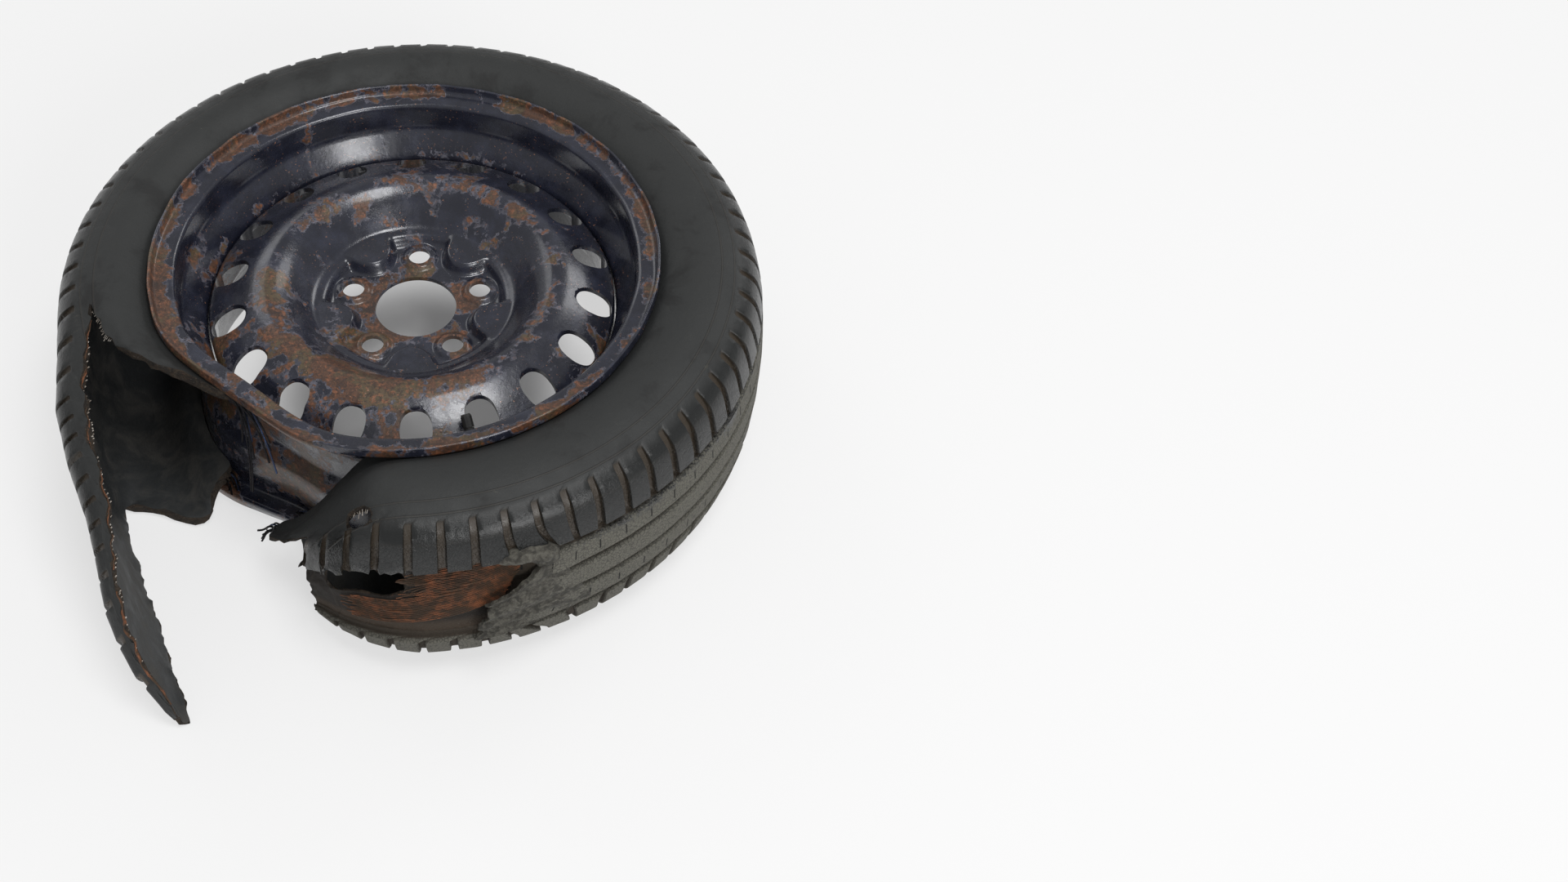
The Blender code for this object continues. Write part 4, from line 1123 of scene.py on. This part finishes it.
def roughenTyre(mesh):
    # ragged torn edges, a slightly uneven surface, nothing below the floor
    place = mesh.attributes["wheelPlace"].data
    wear = mesh.attributes["wheelWear"].data
    lift = {"small": 0.00035, "belt": 0.0007}
    normals = [vertex.normal.copy() for vertex in mesh.vertices]
    for index, vertex in enumerate(mesh.vertices):
        spot = vertex.co.copy()
        normal = normals[index]
        bare, edge = wear[index].vector[1:]
        share = min(1.0, edge) ** 1.5
        if share > 0.02 and place[index].vector[0] > 0.212:
            spot += ragged(spot) * share
        spot += normal * noise.noise(spot * 60.0) * lift["small"]
        if bare > 0.3:
            spot += normal * noise.noise(spot * 160.0) * lift["belt"] * bare
        spot.z = max(spot.z, 0.0)
        vertex.co = spot


def makeRubber():
    material, shader, spot = freshMaterial("tyreRubber")
    place = tree.nodes.new("ShaderNodeAttribute")
    place.attribute_name = "wheelPlace"
    wear = tree.nodes.new("ShaderNodeAttribute")
    wear.attribute_name = "wheelWear"
    split = tree.nodes.new("ShaderNodeSeparateXYZ")
    tree.links.new(place.outputs["Vector"], split.inputs[0])
    radius, height, turn = split.outputs[0], split.outputs[1], split.outputs[2]
    worn = tree.nodes.new("ShaderNodeSeparateXYZ")
    tree.links.new(wear.outputs["Vector"], worn.inputs[0])
    slot, bare = worn.outputs[0], worn.outputs[1]
    up = math2("ABSOLUTE", height)
    tread = times(edgeRamp(radius, 0.272, 0.279), edgeRamp(up, 0.070, 0.078, 1.0, 0.0))
    shoulder = edgeRamp(radius, 0.262, 0.274)
    patches = cloud(spot, 26.0, 7.0, 0.62, 0.3)
    speck = cloud(spot, 420.0, 5.0, 0.72)
    fine = cloud(spot, 1300.0, 3.0, 0.6)
    colour = stain(tyreLook["side"], tyreLook["sideDark"], patches, 0.52, 0.66, 0.0, 0.7)
    colour = blendColour(shoulder, colour, tyreLook["shoulder"])
    # grey dust, thick on the tread and thinning out over the upper shoulder
    amount = edgeRamp(height, 0.074, 0.020, 0.0, 0.36)
    amount = times(amount, edgeRamp(radius, 0.266, 0.280))
    amount = scaleAdd(patches, 0.42, amount)
    amount = scaleAdd(speck, 0.44, amount)
    dust = edgeRamp(amount, 0.62, 0.72, 0.0, 0.95)
    scuff = times(edgeRamp(cloud(spot, 70.0, 9.0, 0.78, 1.5), 0.62, 0.68, 0.0, 0.30),
                  edgeRamp(radius, 0.225, 0.235))
    dust = math2("MAXIMUM", dust, scuff)
    cracks = step("ShaderNodeTexVoronoi", {"Vector": spot, "Scale": 330.0}, feature="DISTANCE_TO_EDGE")
    cracks = times(edgeRamp(cracks, 0.02, 0.10, 1.0, 0.0), tread)
    colour = blendColour(dust, colour, tyreLook["dust"])
    colour = blendColour(times(cracks, 0.55), colour, tyreLook["sideDark"])
    grooveDark = math2("SUBTRACT", 0.2905, times(times(height, height), 1.22))
    deep = times(edgeRamp(math2("SUBTRACT", grooveDark, radius), 0.0020, 0.0045), tread)
    colour = blendColour(deep, colour, tyreLook["slotFloor"])
    colour = blendColour(slot, colour, tyreLook["slotFloor"])
    belt = stain(tyreLook["tornBrown"], tyreLook["beltDark"], height, -0.034, -0.022)
    colour = stain(colour, belt, bare, 0.3, 0.7)
    # narrow sipes across the ribs, painted near-black as the shade inside the slits, and pressed in with a
    # bump
    pitch = math2("DIVIDE", turn, pitchAngle)
    shift = times(step("ShaderNodeMath", {0: times(height, 33.0)}, operation="ROUND"), 0.37)
    cross = math2("ABSOLUTE", math2("SUBTRACT", math2("FRACT", math2("ADD", pitch, shift)), 0.5))
    sipe = times(edgeRamp(cross, 0.020, 0.032, 1.0, 0.0),
                 edgeRamp(apart(up, 0.0300), 0.0045, 0.0060, 1.0, 0.0))
    sipe = times(times(sipe, tread), edgeRamp(bare, 0.1, 0.3, 1.0, 0.0))
    colour = blendColour(sipe, colour, (0.010, 0.009, 0.008))
    # two fine moulded lines round the sidewall
    lines = None
    x, y = burst["slackShift"]
    fromMiddle = vectorMath("ADD", spot, (-axisSpot.x - x, -axisSpot.y - y, 0.0))
    flat = vectorMath("MULTIPLY", fromMiddle, (1.0, 1.0, 0.0))
    trueRadius = vectorMath("LENGTH", flat)
    for middle in (0.2518, 0.2625):
        away = apart(trueRadius, middle)
        line = edgeRamp(away, 0.0004, 0.0010, 1.0, 0.0)
        lines = line if lines is None else math2("MAXIMUM", lines, line)
    colour = blendColour(times(lines, 0.18), colour, tyreLook["grime"])
    rough = edgeRamp(patches, 0.3, 0.7, 0.56, 0.70)
    rough = between(shoulder, rough, 0.27)
    rough = between(dust, rough, 0.90)
    relief = scaleAdd(sipe, -1.0, times(lines, 0.6))
    relief = scaleAdd(cracks, -0.35, relief)
    normal = bump(relief, 0.0012, 0.8)
    normal = bump(cloud(spot, 160.0, 6.0, 0.6), 0.0014, 0.35, normal)
    normal = bump(fine, 0.0003, 0.5, normal)
    plug(shader, {"Base Color": colour, "Roughness": rough, "Normal": normal, "Specular IOR Level": 0.42})
    return material


def makeLiner():
    material, shader, spot = freshMaterial("innerLiner")
    smear = cloud(spot, 38.0, 6.0, 0.6, 0.8)
    colour = stain(tyreLook["liner"], (0.054, 0.052, 0.048), smear, 0.40, 0.70)
    colour = stain(colour, tyreLook["grime"], cloud(spot, 300.0, 5.0, 0.7), 0.58, 0.75, 0.0, 0.5)
    normal = bump(cloud(spot, 90.0, 5.0, 0.55), 0.002, 0.35)
    normal = bump(cloud(spot, 700.0, 3.0, 0.6), 0.0003, 0.4, normal)
    plug(shader, {"Base Color": colour, "Roughness": edgeRamp(smear, 0.3, 0.7, 0.55, 0.78), "Normal": normal,
                        "Specular IOR Level": 0.35})
    return material


def makeTornRubber():
    material, shader, spot = freshMaterial("tornRubber")
    chunk = cloud(spot, 130.0, 7.0, 0.7, 0.9)
    streak = step("ShaderNodeMapping", {"Vector": spot, "Scale": (1.0, 1.0, 5.0)})
    plies = cloud(streak, 160.0, 5.0, 0.6, 0.5)
    colour = stain(tyreLook["torn"], tyreLook["tornBrown"], chunk, 0.36, 0.66)
    colour = stain(colour, (0.105, 0.055, 0.032), plies, 0.60, 0.72, 0.0, 0.7)
    colour = stain(colour, (0.20, 0.19, 0.17), cloud(spot, 800.0, 3.0, 0.6), 0.62, 0.72, 0.0, 0.6)
    normal = bump(chunk, 0.0024, 0.9)
    normal = bump(plies, 0.0010, 0.6, normal)
    plug(shader, {"Base Color": colour, "Roughness": 0.86, "Normal": normal, "Specular IOR Level": 0.3})
    return material


makeTyre()
print("tyre made")


# Cords, wires and plies laid bare by the burst. They are thin tubes gathered in one mesh for each kind.


def tubeInto(points, faces, path, radius, sides=5):
    start = len(points)
    side = None
    for k, spot in enumerate(path):
        way = (path[min(k + 1, len(path) - 1)] - path[max(k - 1, 0)]).normalized()
        if side is None:
            side = way.cross(Vector((0.31, 0.27, 0.91))).normalized()
        side = (side - way * side.dot(way)).normalized()
        other = way.cross(side)
        for i in range(sides):
            a = math.tau * i / sides
            points.append(spot + side * (radius * math.cos(a)) + other * (radius * math.sin(a)))
    for k in range(len(path) - 1):
        for i in range(sides):
            n = (i + 1) % sides
            a = start + k * sides
            faces.append((a + i, a + n, a + sides + n, a + sides + i))
    faces.append(tuple(start + i for i in range(sides))[::-1])
    faces.append(tuple(start + (len(path) - 1) * sides + i for i in range(sides)))


def tubePiece(name, tubes, material, slotName, *nodes):
    points = []
    faces = []
    for path, radius in tubes:
        tubeInto(points, faces, path, radius)
    claim(meshPiece(name, points, faces, [material], None, 60.0), slotName, *nodes)


def anyWay(chance):
    return Vector((chance.uniform(-1, 1), chance.uniform(-1, 1), chance.uniform(-1, 1)))


def wireMaterial(name, dark, pale, rough, metal, scale=900.0, low=0.42, high=0.62):
    material, shader, spot = freshMaterial(name)
    share = edgeRamp(cloud(spot, scale, 5.0, 0.65), low, high)
    long = edgeRamp(cloud(spot, 60.0, 4.0, 0.6), 0.35, 0.7)
    colour = blendColour(times(share, long), dark, pale)
    normal = bump(cloud(spot, 2400.0, 2.0, 0.5), 0.0002, 0.6)
    plug(shader, {"Base Color": colour, "Roughness": rough, "Metallic": metal, "Normal": normal})
    return material


# Belt cords, one rusty strand after another from the hole to the lifted tread

cordLook = {"count": 31, "radius": 0.00046, "lift": 0.0012, "leftTurn": 260.6, "holeTurn": 272.2,
            "rightTurn": 287.6, "topLeft": 0.0405, "span": 0.067, "topRight": 0.0470, "spanRight": 0.052,
            "wave": 0.0017, "holeLow": 0.0085, "step": 0.55, "fray": 0.0022, "frayTurn": 2.2, "strays": 0.35}


def cordSpot(share, turn):
    left = cordLook["topLeft"] - share * cordLook["span"]
    right = cordLook["topRight"] - share * cordLook["spanRight"]
    z = mix(left, right, smooth((turn - 268.0) / 19.0))
    z += cordLook["wave"] * math.sin((turn - 258.0) * 0.42 + share * 2.2)
    z += 0.0004 * noise.noise(Vector((turn * 0.9, share * 90.0, 2.0)))
    return z, crown(z) - burst["tornDeep"] + cordLook["lift"]


def makeBeltCords():
    chance = random.Random(11)
    tubes = []
    for i in range(cordLook["count"]):
        share = i / (cordLook["count"] - 1)
        if cordSpot(share, 264.0)[0] > cordLook["holeLow"]:
            begin = cordLook["holeTurn"] - 3.4 * chance.random()
        else:
            begin = cordLook["leftTurn"] - 1.9 + 2.6 * chance.random()
        end = cordLook["rightTurn"] + 2.5 * (1.0 - 2.0 * share)
        fray = chance.uniform(-1.0, 1.0)
        path = []
        turn = begin
        while turn < end:
            z, r = cordSpot(share, turn)
            loose = max(0.0, 1.0 - (turn - begin) / cordLook["frayTurn"])
            z += fray * cordLook["fray"] * loose * loose
            path.append(skin(r + 0.0015 * loose * loose * chance.random(), z, turn))
            turn += cordLook["step"]
        tubes.append((path, cordLook["radius"] * chance.uniform(0.85, 1.15)))
        if chance.random() < cordLook["strays"]:
            # a stray broken strand lying over the others
            stray = []
            first = chance.uniform(begin + 1.0, begin + 8.0)
            for k in range(12):
                z, r = cordSpot(min(1.0, share + 0.012 * k * chance.uniform(0.2, 0.5)), first + 0.5 * k)
                stray.append(skin(r + 0.0009 + 0.0006 * math.sin(k * 0.5), z, first + 0.5 * k))
            tubes.append((stray, cordLook["radius"] * 0.8))
    rusty = wireMaterial("rustyCord", (0.060, 0.034, 0.018), (0.270, 0.092, 0.036), 0.7, 0.2,
                         160.0, 0.38, 0.58)
    tubePiece("beltCords", tubes, rusty, "cord_rust", "belt_cords")
    return rusty


# Broken bead wires in the four torn bead ends

wireLook = {
    "radius": 0.00085, "section": 0.42,
    # name of the node, bead side, station, way into the bead, number, length, droop
    "ends": (("bead_wires_right_upper", "u", -2, 1, 6, 0.022, 0.15),
             ("bead_wires_right_lower", "l", -2, 1, 6, 0.016, 0.1),
             ("bead_wires_left_upper", "u", 67, -1, 10, 0.040, 1.3),
             ("bead_wires_left_lower", "l", 65, -1, 7, 0.014, 0.3)),
}


def acrossBead(corners, u, v):
    return corners[0].lerp(corners[1], u).lerp(corners[3].lerp(corners[2], u), v)


def makeBeadWires():
    chance = random.Random(23)
    dark = wireMaterial("darkWire", (0.006, 0.006, 0.008), (0.035, 0.030, 0.030), 0.45, 0.6)
    blue = wireMaterial("blueWire", (0.010, 0.018, 0.050), (0.045, 0.090, 0.210), 0.5, 0.2)
    for node, side, station, into, count, length, droop in wireLook["ends"]:
        back = beadSection(side, station + into * 0.5, wireLook["section"])
        front = beadSection(side, station, wireLook["section"])
        outWay = (sum(front, Vector()) - sum(back, Vector())).normalized()
        groups = {"dark": [], "blue": []}
        for i in range(count):
            u = (i % 3) / 2.0
            v = (i // 3) / 3.0
            begin = acrossBead(back, u, v)
            leave = acrossBead(front, u, v)
            reach = length * chance.uniform(0.45, 1.15)
            radial = Vector((leave.x, leave.y, 0.0)).normalized()
            bend = anyWay(chance) * 0.45 + radial * 0.55
            path = [begin, begin.lerp(leave, 0.5)]
            for k in range(13):
                along = k / 12
                spot = leave + outWay * reach * along + bend * reach * along * along * 0.7
                spot.z -= droop * reach * along * along
                spot.z += 0.0012 * math.sin(along * 9.0 + i)
                spot.z = max(spot.z, -axisSpot.z + 0.001)
                path.append(spot)
            group = groups["blue" if i % 4 == 3 else "dark"]
            group.append((path, wireLook["radius"] * chance.uniform(0.75, 1.1)))
        for colour, material in (("dark", dark), ("blue", blue)):
            tubePiece(node.replace("_", "-") + "-" + colour, groups[colour], material, "bead_wire", node)


# Pale ends of the textile plies along the torn edges, and rusty streaks on the strip's torn face

plyLook = {
    "radius": 0.00042, "gap": 0.15, "combGap": 0.075,
    "first": 60.4, "last": 74.2, "share": 0.80, "long": 0.0010,
    # torn edge, first and last station and length of the two combs of loose ends
    "combs": (("", 2.06, 2.97, 0.0075), ("freeUpper", 60.6, 62.0, 0.0070)),
    # first and last station, depth in the wall and number of the streaks
    "streaks": ((60.5, 63.2, 0.38, 3), (63.6, 66.2, 0.36, 2), (67.0, 69.6, 0.42, 3), (69.8, 71.2, 0.5, 2),
                (71.8, 74.7, 0.35, 5), (72.4, 74.9, 0.6, 5)),
    "streakRadius": 0.00038,
}


def tornEdgeSpot(row, station, share, loose=""):
    low = math.floor(station)
    part = station - low
    ends = []
    for s in (low, low + 1):
        outer = place(row, s, "out", loose)
        inner = place(row, s, "in", loose)
        ends.append(outer.lerp(inner, share))
    return ends[0].lerp(ends[1], part)


def makePlyEnds(rusty):
    chance = random.Random(5)
    pale = wireMaterial("paleCord", (0.300, 0.260, 0.220), (0.720, 0.690, 0.640), 0.8, 0.0, 500.0)
    tubes = []
    station = plyLook["first"]
    while station < plyLook["last"]:
        spot = tornEdgeSpot(tearRow, station, plyLook["share"])
        deeper = spot - Vector((0, 0, 0.01))
        if station < 74:
            deeper = tornEdgeSpot(tearRow + 1, station, plyLook["share"])
        way = (spot - deeper).normalized()
        spot = spot + ragged(spot + axisSpot)
        if chance.random() < 0.82:
            tip = spot + way * (0.0006 + plyLook["long"] * chance.random())
            thick = plyLook["radius"] * chance.uniform(0.8, 1.5)
            tubes.append(([spot - way * 0.0015, spot + way * 0.0002, tip], thick))
        station += plyLook["gap"] * chance.uniform(0.8, 1.4)
    # comb of ends under the left wall's torn edge and round the tear in the sidewall
    for loose, station, last, long in plyLook["combs"]:
        while station < last:
            spot = tornEdgeSpot(tearRow, station, 0.55, loose)
            beyond = spot + Vector((spot.x, spot.y, -0.35)).normalized()
            if loose == "":
                beyond = tornEdgeSpot(tearRow + 1, station, 0.55)
            way = (beyond - spot).normalized()
            spot = spot + ragged(spot + axisSpot)
            reach = long * chance.uniform(0.30, 0.85)
            lean = anyWay(chance) * 0.0009
            path = [spot - way * 0.002, spot + way * reach * 0.5 + lean * 0.4, spot + way * reach + lean]
            tubes.append((path, plyLook["radius"] * chance.uniform(0.55, 0.85)))
            station += plyLook["combGap"] * chance.uniform(0.7, 1.3)
    tubePiece("plyEnds", tubes, pale, "cord_rust")
    streaks = []
    for first, last, share, count in plyLook["streaks"]:
        for k in range(count):
            path = []
            offset = share + 0.07 * (k - count / 2) + chance.uniform(-0.02, 0.02)
            begin = first + chance.uniform(0.0, 0.5)
            end = last - chance.uniform(0.0, 0.6)
            for i in range(15):
                station = min(74.95, mix(begin, end, i / 14))
                spot = tornEdgeSpot(tearRow, station, offset)
                under = tornEdgeSpot(tearRow + 1, station, offset)
                spot = spot + ragged(spot + axisSpot) + (spot - under).normalized() * 0.0003
                path.append(spot)
            streaks.append((path, plyLook["streakRadius"]))
    tubePiece("stripCords", streaks, rusty, "cord_rust")


# The thick lip of rubber rolled up at the end of the bared cords

lipLook = {
    "radius": 0.0086, "sides": 18, "steps": 6, "sunk": 0.0035,
    # turn round the wheel, height and lift from the tread: over the top of the cords and down to the flap
    "path": ((282.2, 0.0480, -0.0060), (285.0, 0.0490, -0.0022), (287.4, 0.0495, 0.0004),
             (289.8, 0.0490, 0.0018), (291.8, 0.0465, 0.0020), (292.7, 0.0420, 0.0016),
             (292.4, 0.0365, 0.0004), (291.2, 0.0320, -0.0020)),
}


def makeRolledLip():
    path = []
    for turn, z, lift in lipLook["path"]:
        path.append(skin(crown(z) - lipLook["sunk"] + lift, z, turn))
    fine = []
    for a, b in zip(path, path[1:]):
        for k in range(lipLook["steps"]):
            fine.append(a.lerp(b, k / lipLook["steps"]))
    fine.append(path[-1])
    points = []
    faces = []
    tubeInto(points, faces, fine, lipLook["radius"], lipLook["sides"])
    for k, point in enumerate(points):
        ring = k // lipLook["sides"]
        share = ring / (len(fine) - 1)
        size = 0.30 + 0.70 * smooth((0.04 + share) / 0.45) * (1.0 - 0.45 * smooth((share - 0.62) / 0.3))
        middle = fine[ring]
        spot = middle + (point - middle) * size
        spot += noise.noise_vector(spot * 90.0) * 0.0024 + noise.noise_vector(spot * 260.0) * 0.0010
        points[k] = spot
    rubber = makeLipRubber()
    claim(meshPiece("rolledLip", points, faces, [rubber], None, 60.0), "tyre_rubber")
    return rubber


# The torn flap of tread below the lip, lifted off the belt and creased

flapLook = {
    "along": 60, "across": 54, "thick": 0.0034, "root": -0.0006, "lift": 0.0066, "crease": 0.0021,
    "ragged": 0.0034, "uneven": 0.0008,
    # turn round the wheel and height of its corners: upper root, upper tip, lower tip, lower root
    "corners": ((293.8, 0.0395), (281.8, 0.0085), (280.6, -0.0460), (299.5, -0.0400)),
}


def flapSpot(u, v):
    # u runs from the root to the tip, v from the upper edge to the lower one
    (turnA, zA), (turnB, zB), (turnC, zC), (turnD, zD) = flapLook["corners"]
    turn = mix(mix(turnA, turnB, u), mix(turnD, turnC, u), v)
    z = mix(mix(zA, zB, u), mix(zD, zC, u), v)
    jag = 1.5 * noise.noise(Vector((v * 7.0, 3.0, 0.5))) + 0.8 * noise.noise(Vector((v * 21.0, 8.0, 0.5)))
    turn += smooth((u - 0.55) / 0.45) * jag
    z += (1.0 - v) ** 5 * flapLook["ragged"] * noise.noise(Vector((u * 9.0, 1.0, 4.0)))
    free = smooth(u / 0.75) * (1.0 - 0.75 * smooth((v - 0.35) / 0.5))
    folds = math.sin(v * 17.0 + u * 3.2 + 1.2 * noise.noise(Vector((u * 2.0, v * 3.0, 7.0))))
    high = flapLook["root"] + (flapLook["lift"] - flapLook["root"]) * free
    high += flapLook["crease"] * folds * smooth((u - 0.12) / 0.4)
    high += flapLook["uneven"] * noise.noise(Vector((u * 12.0, v * 22.0, 2.0)))
    return crown(z) + high, z, turn


def makeTornFlap(rubber):
    points = []
    faces = []
    along = flapLook["along"]
    across = flapLook["across"]
    for side in (0, 1):
        for i in range(along + 1):
            for k in range(across + 1):
                r, z, turn = flapSpot(i / along, k / across)
                points.append(skin(r - side * flapLook["thick"] * mix(1.6, 0.8, i / along), z, turn))
    wide = across + 1
    count = (along + 1) * wide
    for i in range(along):
        for k in range(across):
            a = i * wide + k
            square = (a, a + 1, a + wide + 1, a + wide)
            faces.append(square)
            faces.append(tuple(count + n for n in square)[::-1])
    border = list(range(across)) + [i * wide + across for i in range(along)]
    border += [along * wide + k for k in range(across, 0, -1)] + [i * wide for i in range(along, 0, -1)]
    for a, b in zip(border, border[1:] + border[:1]):
        faces.append((a, b, count + b, count + a))
    claim(meshPiece("tornFlap", points, faces, [rubber], None, 60.0), "tyre_rubber")


def makeLipRubber():
    material, shader, spot = freshMaterial("lipRubber")
    mottle = cloud(spot, 150.0, 7.0, 0.68, 0.6)
    colour = stain((0.032, 0.030, 0.025), (0.062, 0.058, 0.048), mottle, 0.40, 0.60)
    dust = scaleAdd(mottle, 0.5, times(cloud(spot, 460.0, 5.0, 0.75), 0.5))
    colour = stain(colour, tyreLook["dust"], dust, 0.46, 0.62, 0.0, 0.70)
    streak = step("ShaderNodeMapping", {"Vector": spot, "Rotation": (0.0, 0.5, 0.35),
                                        "Scale": (1.0, 3.0, 5.0)})
    creases = cloud(streak, 60.0, 6.0, 0.65, 0.6)
    colour = stain(colour, (0.024, 0.020, 0.016), creases, 0.56, 0.66, 0.0, 0.45)
    normal = bump(mottle, 0.0016, 0.6)
    normal = bump(creases, 0.0024, 0.5, normal)
    plug(shader, {"Base Color": colour, "Roughness": 0.74, "Normal": normal, "Specular IOR Level": 0.35})
    return material


# Valve: the model's own solids with worn finishes


def dressValve():
    # node: name, dark colour, pale colour, roughness, metal and scale of the grain
    finishes = {
        "valve_rubber": ("valveRubber", (0.010, 0.010, 0.010), (0.040, 0.036, 0.030), 0.7, 0.0, 400.0),
        "valve_stem": ("valveBrass", (0.090, 0.060, 0.028), (0.330, 0.240, 0.110), 0.42, 0.9, 600.0),
        "valve_cap": ("valveCap", (0.008, 0.008, 0.008), (0.035, 0.032, 0.028), 0.5, 0.0, 500.0),
    }
    for node, finish in finishes.items():
        material = wireMaterial(*finish)
        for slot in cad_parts[node].material_slots:
            slot.material = material


rusty = makeBeltCords()
makeBeadWires()
makePlyEnds(rusty)
makeTornFlap(makeRolledLip())
dressValve()
print("cords, wires and valve made")


print("pieces done")
